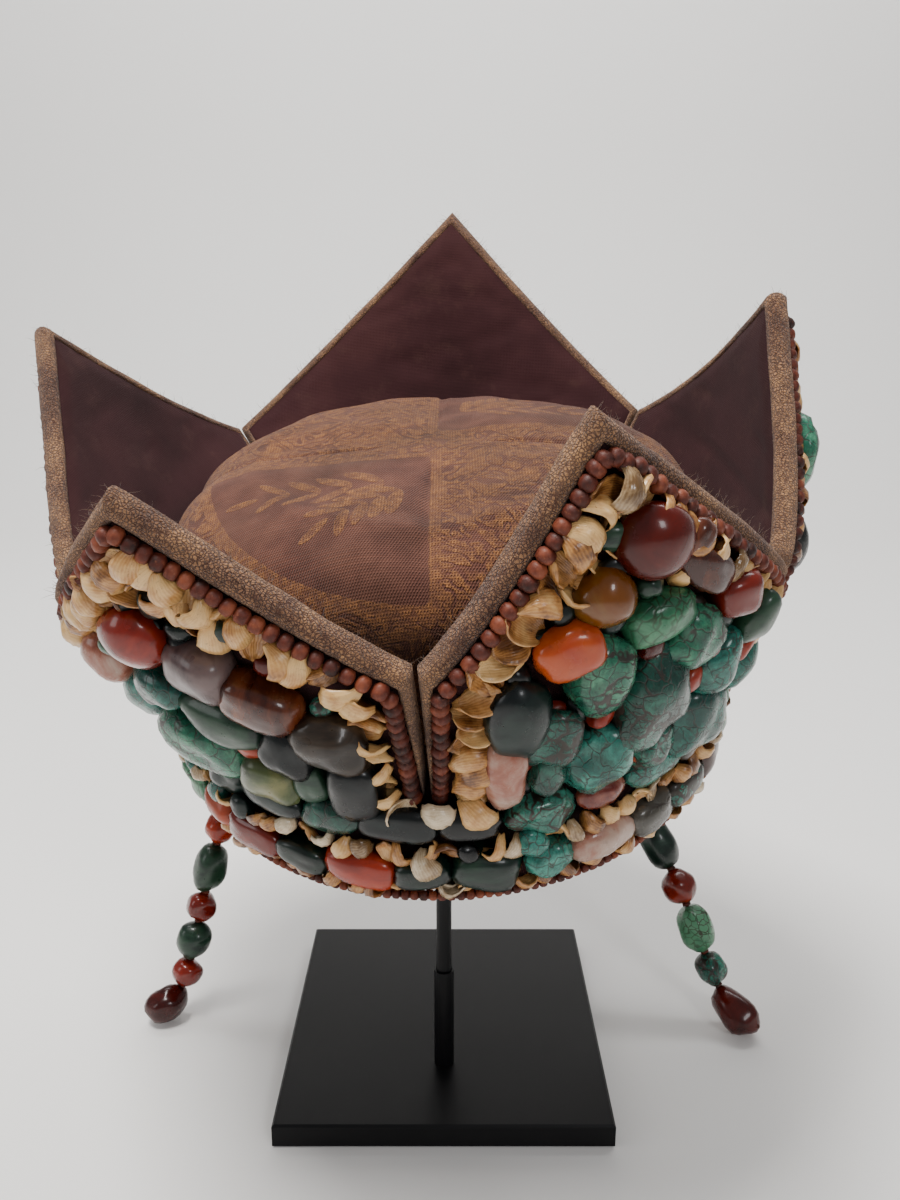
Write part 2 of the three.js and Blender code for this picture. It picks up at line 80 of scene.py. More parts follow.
# Valleys between lobes: turn, radius as a share of LOBE_RADIUS, height as a share of LOBE_RISE
VALLEYS = [(-3, 1.135, 0.59), (69, 1.285, 0.57), (141, 1.59, 0.58), (218, 1.72, 0.56), (285, 1.42, 0.54)]

# Tips of the lobes, each one between its valley and the next, in the same shares
LOBES = [
    ("front_right", (25, 1.1, 1.02)),
    ("side_right", (105, 1.39, 1.01)),
    ("back", (177, 1.94, 1.11)),
    ("side_left", (249, 1.77, 0.99)),
    ("front_left", (321, 1.37, 0.94)),
]

# Stones of the two front lobes: place across as a share of the half width there, place up as a
# share of the lobe's height, length and breadth as shares of STONE, turn of the length, form, kind
FRONT_STONES = {
    "front_right": [
        (-0.06, 0.69, 1.15, 1.1, 0, "ball", "carnelian_dark"),
        (0.18, 0.59, 1.1, 0.62, -35, "oval", "agate"), (0.39, 0.49, 0.7, 0.65, 0, "cube", "carnelian"),
        (0.63, 0.37, 1.1, 0.7, 80, "oval", "jade_dark"),
        (-0.27, 0.57, 0.9, 0.85, 30, "ball", "agate_yellow"),
        (-0.02, 0.49, 1.15, 0.75, 15, "oval", "jade"),
        (-0.43, 0.46, 0.95, 0.75, 20, "barrel", "carnelian"),
        (-0.27, 0.37, 1.25, 0.95, 80, "oval", "turquoise_green"),
        (0.18, 0.41, 1.0, 0.9, 70, "nugget", "turquoise_green"),
        (0.47, 0.26, 1.15, 0.9, 75, "oval", "turquoise"),
        (0.02, 0.24, 1.7, 1.25, 75, "nugget", "turquoise_dark"),
        (0.47, 0.06, 1.5, 1.25, 80, "nugget", "turquoise"), (-0.63, 0.29, 1.35, 0.9, 85, "oval", "night"),
        (-0.48, 0.2, 1.0, 0.85, 80, "nugget", "turquoise_dark"),
        (-0.22, 0.08, 1.25, 1.05, 85, "nugget", "turquoise"),
        (-0.67, 0.1, 1.35, 0.62, 88, "barrel", "agate_pink"),
        (-0.47, 0.07, 0.8, 0.55, 80, "oval", "turquoise_dark"),
        (0.12, 0.05, 0.85, 0.75, 10, "nugget", "turquoise_dark"),
        (0.78, 0.18, 1.0, 0.8, 80, "oval", "turquoise"), (0.78, 0.02, 0.9, 0.8, 0, "oval", "jade"),
        (-0.24, 0.235, 0.45, 0.36, 20, "oval", "coral"), (0.27, 0.25, 0.5, 0.4, 30, "oval", "coral"),
        (-0.05, 0.42, 0.42, 0.36, 0, "oval", "carnelian_dark"),
        (0.07, 0.055, 0.55, 0.38, 60, "oval", "coral"),
        (0.3, 0.36, 0.5, 0.45, 0, "oval", "carnelian_dark"), (0.66, 0.27, 0.6, 0.4, 70, "oval", "coral"),
        (-0.08, 0.58, 0.4, 0.35, 0, "oval", "jade_dark"), (0.12, 0.68, 0.6, 0.45, 40, "oval", "agate"),
    ],
    "front_left": [
        (-0.14, 0.56, 1.2, 1.1, 0, "ball", "carnelian_red"),
        (-0.51, 0.41, 1.0, 0.9, 40, "oval", "agate_pink"), (0.14, 0.47, 1.15, 0.85, -8, "barrel", "grape"),
        (0.39, 0.37, 1.25, 0.8, -15, "barrel", "agate"), (0.66, 0.25, 1.15, 0.9, -10, "nugget", "pebble"),
        (-0.2, 0.34, 1.05, 0.7, -10, "oval", "turquoise"),
        (0.13, 0.26, 1.55, 0.85, -8, "oval", "jade_dark"),
        (-0.15, 0.12, 1.65, 1.15, -15, "nugget", "turquoise_green"),
        (0.43, 0.19, 0.95, 0.85, 0, "nugget", "night"),
        (0.27, 0.05, 1.15, 0.95, 0, "nugget", "jade_yellow"),
        (0.71, 0.07, 1.3, 0.8, 85, "barrel", "night"), (0.5, 0.07, 0.8, 0.55, 85, "oval", "jade_dark"),
        (-0.6, 0.2, 1.05, 0.85, 60, "oval", "turquoise"), (-0.62, 0.04, 1.0, 0.9, 0, "oval", "jade"),
        (0.22, 0.165, 0.6, 0.35, -10, "oval", "coral"), (-0.38, 0.28, 0.6, 0.45, 0, "oval", "night"),
        (-0.42, 0.02, 0.7, 0.6, 0, "oval", "turquoise_dark"), (-0.33, 0.5, 0.45, 0.4, 0, "oval", "jade"),
    ],
}

# Courses of stones on the other lobes: a stone's size, a course's rise and how full it is, then the
# length, breadth, lift, form and kind of one stone after another
COURSE_STONE = 1.2 * STONE
COURSE_RISE = 0.92
COURSE_FILL = 1.04
COURSE_LENGTHS = [1.15, 0.9, 1.05, 0.8, 1.2, 0.95]
COURSE_BREADTHS = [0.95, 0.8, 1.1, 0.85, 1]
COURSE_LIFTS = [0.05, -0.08, 0.1, -0.04]
COURSE_FORMS = ["oval", "nugget", "barrel", "oval", "ball", "nugget", "oval"]
COURSE_KINDS = [
    "turquoise", "jade_dark", "carnelian", "turquoise_dark", "agate", "turquoise_green", "night",
    "agate_pink", "turquoise", "coral", "jade", "pebble", "turquoise_dark",
]

# Two courses round the brow band: first turn, count, height as a share of BAND_HEIGHT, breadth
# as a share of STONE, and the forms and kinds in turn from the first stone
BAND_COURSES = [
    {
        "first": -8, "count": 30, "height": 0.8, "breadth": 0.6,
        "forms": ["barrel", "barrel", "nugget", "oval", "oval"],
        "kinds": ["night", "night", "turquoise_dark", "agate_pink", "turquoise", "pebble", "carnelian",
                  "jade", "turquoise"],
    },
    {
        "first": -16, "count": 32, "height": 0.33, "breadth": 0.6,
        "forms": ["barrel", "barrel", "barrel", "nugget", "oval"],
        "kinds": ["carnelian", "jade_dark", "jade_dark", "turquoise", "agate_pink", "crystal",
                  "turquoise_dark", "agate", "jade", "coral"],
    },
]
BAND_STONE_HEIGHT = 9

# Flakes of shell under the front seam: turn, height, turn of the length, length, kind
SEAM_FLAKES = [
    (-7, 37, 70, 13, "pearl"),
    (-1, 37.5, 10, 11, "pearl"),
    (5.5, 37, -20, 15, "shell"),
    (-4, 19, 90, 12, "pearl"),
]

# Rows of shell chips round the band, below BAND_LOW turned a little downward
BAND_CHIP_ROWS = [
    {"height": 23, "proud": 8, "pitch": 6.5},
    {"height": 7.5, "proud": 6, "pitch": 7.5},
    {"height": 6, "proud": 3, "pitch": 10},
]
BAND_LOW = 10

# How much of its pitch a stone on the band fills, and how much longer and broader it is drawn
BAND_FILL = 1.02
BAND_LONGER = 1.06
BAND_BROADER = 1.08

# The strings hang from the band's underside at these turns, then pass the chosen points down to
# where the last bead lies
STRING_TURNS = {"left": -115, "right": 148}
STRING_ROUTES = {
    "left": [(-90, 31, 128), (-98, 28, 95), (-108, 20, 55), (-119, 12, 14), (-133, 4, 7)],
    "right": [(64, 62, 142), (80, 52, 110), (105, 25, 60), (124, 6, 15), (137, -6, 7)],
}
STRING_BEADS = [0.85, 0.65, 1.05, 1.15, 0.8, 1.25, 0.75, 1, 0.7, 1.1]
STRING_KINDS = {
    "left": [
        "carnelian", "night", "coral", "night", "carnelian", "jade_dark", "carnelian_red", "jade_dark",
        "carnelian_red", "carnelian_dark",
    ],
    "right": [
        "turquoise_dark", "carnelian", "jade_dark", "coral", "carnelian_red", "jade_dark", "carnelian",
        "jade", "turquoise_dark", "carnelian_dark",
    ],
}
BEAD = 15
BEAD_GAP = 0.8
THREAD = 1.2
STRING_STEPS = 60


def rad(degrees):
    return math.radians(degrees)


def polar(turn, radius, height):
    return Vector((radius * math.sin(rad(turn)), -radius * math.cos(rad(turn)), height))


CROWN = (Matrix.Translation(CROWN_CENTRE) @ Matrix.Rotation(rad(CROWN_TILT), 4, "X")
         @ Matrix.Rotation(rad(CROWN_ROLL), 4, "Y"))
WORLD = Matrix.Identity(4)


def turned(a, b, angle):
    """The direction at this angle from a towards b."""
    return a * math.cos(angle) + b * math.sin(angle)


def random_vector(rng, reach):
    return Vector([rng.uniform(-reach, reach) for _ in range(3)])


def smoothstep(low, high, value):
    t = min(1, max(0, (value - low) / (high - low)))
    return t * t * (3 - 2 * t)


def curve_point(before, a, b, after, t):
    """A point of the smooth curve from a to b, which the points before and after them lead."""
    return 0.5 * ((2 * a) + (b - before) * t + (2 * before - 5 * a + 4 * b - after) * t * t
                  + (3 * a - before - 3 * b + after) * t ** 3)


def distances(points):
    """The way travelled along the points up to each of them."""
    result = [0]
    for a, b in zip(points, points[1:]):
        result.append(result[-1] + (b - a).length)
    return result


def run_at(points, i):
    """The direction of the line of points at point i."""
    return (points[min(i + 1, len(points) - 1)] - points[max(i - 1, 0)]).normalized()


def cycled(values, number):
    """The value for this number in a list that starts again at its end."""
    return values[number % len(values)]


def add_object(name, data):
    obj = bpy.data.objects.new(name, data)
    bpy.context.scene.collection.objects.link(obj)
    return obj


class Piece:
    """Collects faces in millimetres and becomes one mesh object in metres."""

    def __init__(self, name, place=CROWN):
        self.name = name
        self.place = place
        self.points, self.faces, self.kinds, self.tones, self.grain = [], [], [], [], []

    def add(self, points, faces, kind, tone=0.5, grain=None):
        start = len(self.points)
        self.points.extend(points)
        self.faces.extend([tuple(start + i for i in face) for face in faces])
        self.kinds.extend([kind] * len(faces))
        self.tones.extend([tone] * len(points))
        self.grain.extend(grain or [(p.x, p.y) for p in points])

    def build(self, node=None):
        mesh = bpy.data.meshes.new(self.name)
        mesh.from_pydata([MM * (self.place @ p) for p in self.points], [], self.faces)
        names = sorted(set(self.kinds))
        for kind in names:
            mesh.materials.append(material(kind))
        slots = [names.index(kind) for kind in self.kinds]
        mesh.polygons.foreach_set("material_index", slots)
        mesh.polygons.foreach_set("use_smooth", [True] * len(mesh.polygons))
        mesh.attributes.new("tone", "FLOAT", "POINT").data.foreach_set("value", self.tones)
        corners = [0] * len(mesh.loops)
        mesh.loops.foreach_get("vertex_index", corners)
        layer = mesh.uv_layers.new(name="grain")
        layer.data.foreach_set("uv", [MM * value for corner in corners for value in self.grain[corner]])
        outward(mesh)
        obj = add_object(self.name, mesh)
        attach(obj, "root")
        if node:
            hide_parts(node)
        return obj


def outward(mesh):
    """Turns every closed skin's faces outward."""
    work = bmesh.new()
    work.from_mesh(mesh)
    bmesh.ops.recalc_face_normals(work, faces=work.faces)
    work.to_mesh(mesh)
    work.free()


def strip_faces(rows, columns, closed_rows=False, closed_columns=False):
    """Squares over a grid whose points run along its columns first."""
    faces = []
    for i in range(rows if closed_rows else rows - 1):
        for j in range(columns if closed_columns else columns - 1):
            a, b = i * columns + j, i * columns + (j + 1) % columns
            c, d = (i + 1) % rows * columns + (j + 1) % columns, (i + 1) % rows * columns + j
            faces.append((a, b, c, d))
    return faces


def slab_faces(rows, columns):
    """A closed skin over two grids of rows by columns squares, the first one's back to the second's."""
    count = (rows + 1) * (columns + 1)
    inner = strip_faces(rows + 1, columns + 1)
    faces = [face[::-1] for face in inner] + [tuple(count + i for i in face) for face in inner]
    ring = [i * (columns + 1) for i in range(rows + 1)]
    ring += [rows * (columns + 1) + j for j in range(1, columns + 1)]
    ring += [i * (columns + 1) + columns for i in range(rows - 1, -1, -1)]
    ring += list(range(columns - 1, 0, -1))
    return faces + [(a, count + a, count + b, b) for a, b in zip(ring, ring[1:] + ring[:1])]


def tube(piece, rings, kind, tone=0.5, grain=None):
    """A skin over rings of points, closed at both ends."""
    count = len(rings[0])
    points = [p for ring in rings for p in ring]
    faces = strip_faces(len(rings), count, closed_columns=True)
    faces.append(tuple(range(count))[::-1])
    faces.append(tuple(range((len(rings) - 1) * count, len(rings) * count)))
    piece.add(points, faces, kind, tone, grain)


# Materials

def srgb(red, green, blue):
    def linear(value):
        value /= 255
        return value / 12.92 if value <= 0.04045 else ((value + 0.055) / 1.055) ** 2.4
    return (linear(red), linear(green), linear(blue), 1)


def grey(value):
    return (value, value, value, 1)


BLACK = grey(0)
WHITE = grey(1)


class Nodes:
    """A short way to write a material's nodes."""

    def __init__(self, name):
        self.material = bpy.data.materials.new(name)
        self.material.use_nodes = True
        self.tree = self.material.node_tree
        self.shader = self.tree.nodes["Principled BSDF"]
        coordinates = self.node("TexCoord")
        self.object = coordinates.outputs["Object"]
        self.uv = coordinates.outputs["UV"]
        tone = self.node("Attribute")
        tone.attribute_name = "tone"
        self.tone = tone.outputs["Fac"]

    def link(self, value, socket):
        if isinstance(value, bpy.types.NodeSocket):
            self.tree.links.new(value, socket)
        else:
            socket.default_value = value

    def node(self, kind, **inputs):
        """A new shader node of this kind, with these inputs linked or set."""
        node = self.tree.nodes.new("ShaderNode" + kind)
        for name, value in inputs.items():
            self.link(value, node.inputs[name])
        return node

    def math(self, operation, a, b=0.0, clamp=False):
        node = self.node("Math")
        node.operation = operation
        node.use_clamp = clamp
        self.link(a, node.inputs[0])
        self.link(b, node.inputs[1])
        return node.outputs[0]

    def plus(self, a, b):
        return self.math("ADD", a, b)

    def minus(self, a, b):
        return self.math("SUBTRACT", a, b)

    def times(self, a, b, clamp=False):
        return self.math("MULTIPLY", a, b, clamp)

    def mapped(self, vector, scale=(1, 1, 1), turn=0, shift=(0, 0, 0)):
        node = self.node("Mapping", Vector=vector, Scale=scale, Rotation=(0, 0, rad(turn)), Location=shift)
        return node.outputs[0]

    def noise(self, scale, detail=4, rough=0.55, vector=None, distortion=0):
        node = self.node("TexNoise", Vector=vector or self.object, Scale=scale, Detail=detail,
                         Roughness=rough, Distortion=distortion)
        return node.outputs["Fac"]

    def colour_noise(self, scale):
        return self.node("TexNoise", Vector=self.object, Scale=scale).outputs["Color"]

    def cells(self, scale, vector):
        """Distance to the nearest edge between cells."""
        node = self.node("TexVoronoi", Vector=vector, Scale=scale)
        node.feature = "DISTANCE_TO_EDGE"
        return node.outputs["Distance"]

    def wave(self, scale, vector, distortion=0, direction="X", kind="BANDS"):
        node = self.node("TexWave", Vector=vector, Scale=scale, Distortion=distortion, Detail=1)
        node.wave_type = kind
        node.bands_direction = direction
        return node.outputs["Fac"]

    def ramp(self, value, stops):
        node = self.node("ValToRGB")
        self.link(value, node.inputs[0])
        elements = node.color_ramp.elements
        while len(elements) < len(stops):
            elements.new(0.5)
        for element, (place, colour) in zip(elements, stops):
            element.position = place
            element.color = colour
        return node.outputs[0]

    def fade(self, value, low, high, most=1, least=0):
        """A grey that goes from least at low to most at high."""
        return self.ramp(value, [(low, grey(least)), (high, grey(most))])

    def shades(self, value, places, colours):
        """Colours given as red, green and blue up to 255, each at its place along the value."""
        return self.ramp(value, [(place, srgb(*colour)) for place, colour in zip(places, colours)])

    def mix(self, share, a, b, mode="MIX"):
        node = self.node("Mix")
        node.data_type = "RGBA"
        node.blend_type = mode
        self.link(share, node.inputs[0])
        self.link(a, node.inputs[6])
        self.link(b, node.inputs[7])
        return node.outputs[2]

    def bump(self, height, distance, strength):
        return self.node("Bump", Distance=distance * MM, Strength=strength, Height=height).outputs[0]

    def finish(self, colour, roughness, normal=None, depth=1.3, shade=1, **values):
        """Connects the shader, with the colour made deeper by a power and darker by a share."""
        deeper = self.node("Gamma", Color=colour, Gamma=depth).outputs[0]
        darker = self.mix(1.0, deeper, grey(shade), "MULTIPLY")
        self.link(darker, self.shader.inputs["Base Color"])
        self.link(roughness, self.shader.inputs["Roughness"])
        if normal:
            self.link(normal, self.shader.inputs["Normal"])
        for name, value in values.items():
            self.shader.inputs[name.replace("_", " ")].default_value = value
        return self.material


def polished(name, colours, scale, veins=None, vein_scale=160, vein_width=0.06, gloss=0.16, coat=0.35,
             streak=(1, 1, 1)):
    """A polished stone of three colours in clouds or streaks, with or without dark veins."""
    n = Nodes(name)
    clouds = n.plus(n.noise(scale, 5, 0.6, n.mapped(n.object, streak), 0.6), n.times(n.tone, 0.5))
    colour = n.shades(n.minus(clouds, 0.25), (0.3, 0.52, 0.72), colours)
    height = n.noise(scale * 5, 3)
    rough = n.plus(n.times(n.noise(scale * 3, 3), 0.22), gloss + 0.04)
    if veins:
        cells = n.cells(vein_scale, n.mix(0.008, n.object, n.colour_noise(120)))
        line = n.ramp(cells, [(0, WHITE), (vein_width, grey(0.7)), (vein_width * 2.2, BLACK)])
        patches = n.fade(n.noise(55, 3), 0.4, 0.62, 1, 0.15)
        share = n.mix(1.0, line, patches, "MULTIPLY")
        colour = n.mix(share, colour, srgb(*veins))
        height = n.minus(height, n.times(share, 1.5))
    grime = n.fade(n.noise(420, 3, 0.7), 0.6, 0.75, 0.5)
    colour = n.mix(grime, colour, n.mix(0.5, colour, srgb(35, 28, 22)))
    return n.finish(colour, rough, n.bump(height, 0.12, 0.7), 1.25, 0.56, Coat_Weight=coat * 0.6,
                    Coat_Roughness=0.06, Specular_IOR_Level=0.3)


def turquoise(name, colours, matrix_share, cell=200):
    """Blue-green stone in a web of dark matrix, fine in most places and thick in some."""
    n = Nodes(name)
    warped = n.mix(0.006, n.object, n.colour_noise(150))
    large = n.cells(cell, warped)
    small = n.cells(cell * 2.3, warped)
    cells = n.math("MINIMUM", large, n.plus(n.times(small, 1.4), 0.03))
    spread = n.plus(n.noise(60, 3, 0.6), n.times(n.tone, 0.25))
    width = n.times(n.minus(spread, 0.78 - matrix_share), 0.8, clamp=True)
    web = n.ramp(n.minus(cells, width), [(0, WHITE), (0.015, grey(0.6)), (0.045, BLACK)])
    clouds = n.plus(n.noise(110, 5, 0.65, distortion=0.6), n.times(n.tone, 0.3))
    colour = n.shades(n.minus(clouds, 0.15), (0.34, 0.5, 0.66), colours)
    colour = n.mix(n.times(n.tone, 0.3), colour, srgb(56, 138, 132))
    mottle = n.fade(n.noise(230, 6, 0.8, distortion=0.8), 0.43, 0.6, 0.5)
    colour = n.mix(mottle, colour, srgb(34, 68, 56))
    matrix = n.mix(n.noise(300, 4), srgb(28, 26, 24), srgb(88, 78, 66))
    colour = n.mix(web, colour, matrix)
    specks = n.fade(n.noise(560, 4, 0.8), 0.56, 0.66, 0.7)
    colour = n.mix(specks, colour, srgb(52, 44, 38))
    height = n.minus(n.noise(180, 3), n.times(web, 0.8))
    rough = n.plus(n.times(web, 0.2), n.plus(n.times(n.noise(200, 3), 0.2), 0.14))
    return n.finish(colour, rough, n.bump(height, 0.16, 0.8), 1.18, 0.68, Coat_Weight=0.22,
                    Coat_Roughness=0.07, Specular_IOR_Level=0.32)


def shell(name, colours, gloss):
    """Horny shell with fine growth lines round one end, brown in its hollows and worn pale."""
    n = Nodes(name)
    rings = n.wave(SHELL_LINES, n.mapped(n.uv, shift=(-0.004, 0, 0)), 2.5, kind="RINGS")
    value = n.plus(n.noise(150, 5, 0.6), n.times(n.tone, 0.4))
    value = n.plus(value, n.times(rings, 0.06))
    colour = n.shades(n.minus(value, 0.24), (0.28, 0.44, 0.66), colours)
    cracks = n.fade(n.noise(420, 6, 0.8, distortion=1.5), 0.58, 0.7, 0.8)
    colour = n.mix(cracks, colour, srgb(*colours[0]))
    normal = n.bump(n.plus(n.noise(260, 4), n.times(rings, 0.3)), 0.2, 0.8)
    return n.finish(colour, gloss, normal, 1.2, Coat_Weight=0.2, Coat_Roughness=0.15)


def seed_bead(name):
    n = Nodes(name)
    value = n.plus(n.noise(210, 3), n.times(n.tone, 0.3))
    colour = n.shades(n.minus(value, 0.15), (0.25, 0.5, 0.75), [(62, 30, 22), (108, 54, 38), (148, 88, 62)])
    wear = n.fade(n.noise(900, 4, 0.7), 0.58, 0.72, 0.6)
    colour = n.mix(wear, colour, srgb(160, 108, 80))
    normal = n.bump(n.noise(700, 4, 0.7), 0.3, 0.8)
    return n.finish(colour, 0.55, normal, Coat_Weight=0.06, Coat_Roughness=0.3, Specular_IOR_Level=0.3)


def weave(n, pitch):
    """Threads over and under at this pitch in millimetres, on the mesh's own flat measure."""
    rate = math.pi / (10 * pitch * MM)
    warp = n.wave(rate, n.uv, 0.4, "X")
    weft = n.wave(rate, n.uv, 0.4, "Y")
    return n.math("MAXIMUM", warp, weft)


def lining(name):
    n = Nodes(name)
    threads = weave(n, 0.7)
    colour = n.shades(n.noise(14, 4, 0.6), (0.3, 0.55, 0.75), [(62, 40, 43), (80, 53, 56), (98, 68, 68)])
    slub = n.noise(220, 3, 0.6, n.mapped(n.uv, (1, 12, 1)))
    colour = n.mix(n.times(slub, 0.3), colour, srgb(96, 72, 70))
    dust = n.fade(n.noise(60, 5, 0.7), 0.55, 0.8, 0.4)
    colour = n.mix(dust, colour, srgb(112, 88, 80))
    normal = n.bump(n.plus(threads, n.times(slub, 0.6)), 0.22, 0.7)
    return n.finish(colour, 0.92, normal, Sheen_Weight=0.04, Sheen_Roughness=0.5, Specular_IOR_Level=0.05)


def binding_cloth(name):
    """Crinkled crepe: pale raised loops on brown-mauve cloth, worn through in patches."""
    n = Nodes(name)
    threads = weave(n, 0.8)
    loops = n.cells(1080, n.mix(0.0014, n.object, n.colour_noise(600)))
    raised = n.fade(loops, 0.02, 0.2)
    patches = n.noise(46, 4, 0.6)
    base = n.shades(patches, (0.36, 0.5, 0.66), [(84, 58, 50), (104, 76, 64), (124, 96, 80)])
    worn = n.fade(n.noise(90, 5, 0.7), 0.34, 0.6, 0.95, 0.3)
    pale = n.shades(patches, (0.36, 0.6), [(158, 124, 100), (192, 154, 116)])
    colour = n.mix(n.mix(1.0, raised, worn, "MULTIPLY"), base, pale)
    height = n.plus(n.times(threads, 0.4), raised)
    return n.finish(colour, 0.92, n.bump(height, 0.45, 0.9), Sheen_Weight=0.15, Sheen_Roughness=0.5,
                    Specular_IOR_Level=0.2)


# Two stems of paired leaves on the cap's flat measure, in millimetres and degrees
SPRAY_FOOT = (-5, -33)
SPRAY_STEMS = [{"turn": 182, "length": 50}, {"turn": 222, "length": 34}]
LEAF_PAIRS = 5
LEAF_LENGTH = 19
LEAF_BREADTH = 5.5
LEAF_LEAN = 38

# The panel round it is the part of an oval between the seam and a straight upper edge
PANEL_SEAM = 1
PANEL_TOP = 13
PANEL_SIDE = 76
PANEL_FRONT = 90
PANEL_BORDER = 3.6
TONE_REACH = 40


def heading(degrees):
    return Vector((math.cos(rad(degrees)), math.sin(rad(degrees))))


def spray_leaves():
    """Base, turn, length and breadth of each leaf, smaller towards its stem's end."""
    leaves = []
    for stem in SPRAY_STEMS:
        along = heading(stem["turn"]) * stem["length"]
        for k in range(1, LEAF_PAIRS + 1):
            share = k / LEAF_PAIRS
            size = 1 - 0.35 * share
            for lean in [0] if share == 1 else [-LEAF_LEAN, LEAF_LEAN]:
                base = Vector(SPRAY_FOOT) + along * share
                leaves.append((base, stem["turn"] + lean, LEAF_LENGTH * size, LEAF_BREADTH * size))
    return leaves


def leaf_spray(n):
    """Above 0 inside any leaf of the front spray or of the one across from it."""
    split = n.node("SeparateXYZ", Vector=n.uv)
    front = n.math("LESS_THAN", split.outputs["Y"], 0)
    folded = n.node("VectorMath")
    folded.operation = "SCALE"
    n.link(n.uv, folded.inputs[0])
    n.link(n.minus(n.times(front, 2), 1), folded.inputs["Scale"])
    inside = None
    for base, turn, length, breadth in spray_leaves():
        middle = base + heading(turn) * length / 2
        moved = n.mapped(folded.outputs[0], shift=(-middle.x * MM, -middle.y * MM, 0))
        level = n.mapped(moved, (1, 1, 0), -turn)
        ball = n.node("TexGradient", Vector=n.mapped(level, (2 / MM / length, 2 / MM / breadth, 0)))
        ball.gradient_type = "SPHERICAL"
        inside = n.math("MAXIMUM", inside, ball.outputs["Fac"]) if inside else ball.outputs["Fac"]
    return inside


def brocade(name):
    """Mauve-brown silk with a common pattern of leaves and bands in worn tan thread."""
    n = Nodes(name)
    wobble = n.noise(90, 3)
    leaf = n.fade(leaf_spray(n), 0.02, 0.12)
    scroll = n.math("PINGPONG", n.times(n.noise(78, 2, 0.5, n.uv, 1.2), 6), 0.5)
    scrolls = n.fade(scroll, 0.1, 0.22)
    edge = n.plus(n.tone, n.times(n.minus(n.noise(300, 3), 0.5), 0.03))
    dense = n.mix(n.math("GREATER_THAN", edge, 0.5 - PANEL_BORDER / TONE_REACH), scrolls, grey(0.9))
    pattern = n.mix(n.math("GREATER_THAN", edge, 0.5), dense, leaf)
    wear = n.fade(n.noise(420, 5, 0.75), 0.4, 0.6, 1, 0.2)
    pattern = n.mix(1.0, pattern, wear, "MULTIPLY")
    twill = n.wave(math.pi / (10 * 0.8 * MM), n.mapped(n.uv, turn=28), 0.5)
    threads = weave(n, 0.9)
    ground = n.shades(n.plus(n.times(twill, 0.3), n.times(wobble, 0.7)), (0.25, 0.5, 0.8),
                      [(94, 65, 58), (127, 91, 80), (152, 114, 98)])
    gold = n.shades(threads, (0.45, 0.8, 1), [(140, 100, 70), (182, 136, 92), (200, 154, 108)])
    colour = n.mix(n.times(pattern, 0.85), ground, gold)
    soil = n.fade(n.noise(20, 4, 0.6), 0.4, 0.75, 0.5)
    colour = n.mix(soil, colour, srgb(92, 74, 58))
    height = n.plus(n.times(pattern, 0.8), n.times(n.plus(threads, twill), 0.4))
    normal = n.bump(height, 0.55, 0.9)
    return n.finish(colour, 0.88, normal, 1.4, 0.88, Sheen_Weight=0.1, Sheen_Roughness=0.45,
                    Specular_IOR_Level=0.15)


def thread_cloth(name):
    n = Nodes(name)
    twist = n.wave(900, n.mapped(n.object, turn=40), 1)
    colour = n.mix(twist, srgb(70, 52, 44), srgb(140, 112, 88))
    return n.finish(colour, 0.9, n.bump(twist, 0.15, 0.6), Sheen_Weight=0.2)


def black_metal(name):
    n = Nodes(name)
    smears = n.noise(9, 5, 0.65)
    dust = n.fade(n.noise(700, 4, 0.8), 0.62, 0.74, 0.35)
    colour = n.mix(dust, n.mix(smears, srgb(8, 8, 9), srgb(18, 18, 20)), srgb(52, 50, 49))
    rough = n.plus(n.times(smears, 0.22), 0.26)
    return n.finish(colour, rough, n.bump(n.noise(900, 2), 0.02, 0.4), 1, 1, Specular_IOR_Level=0.16)


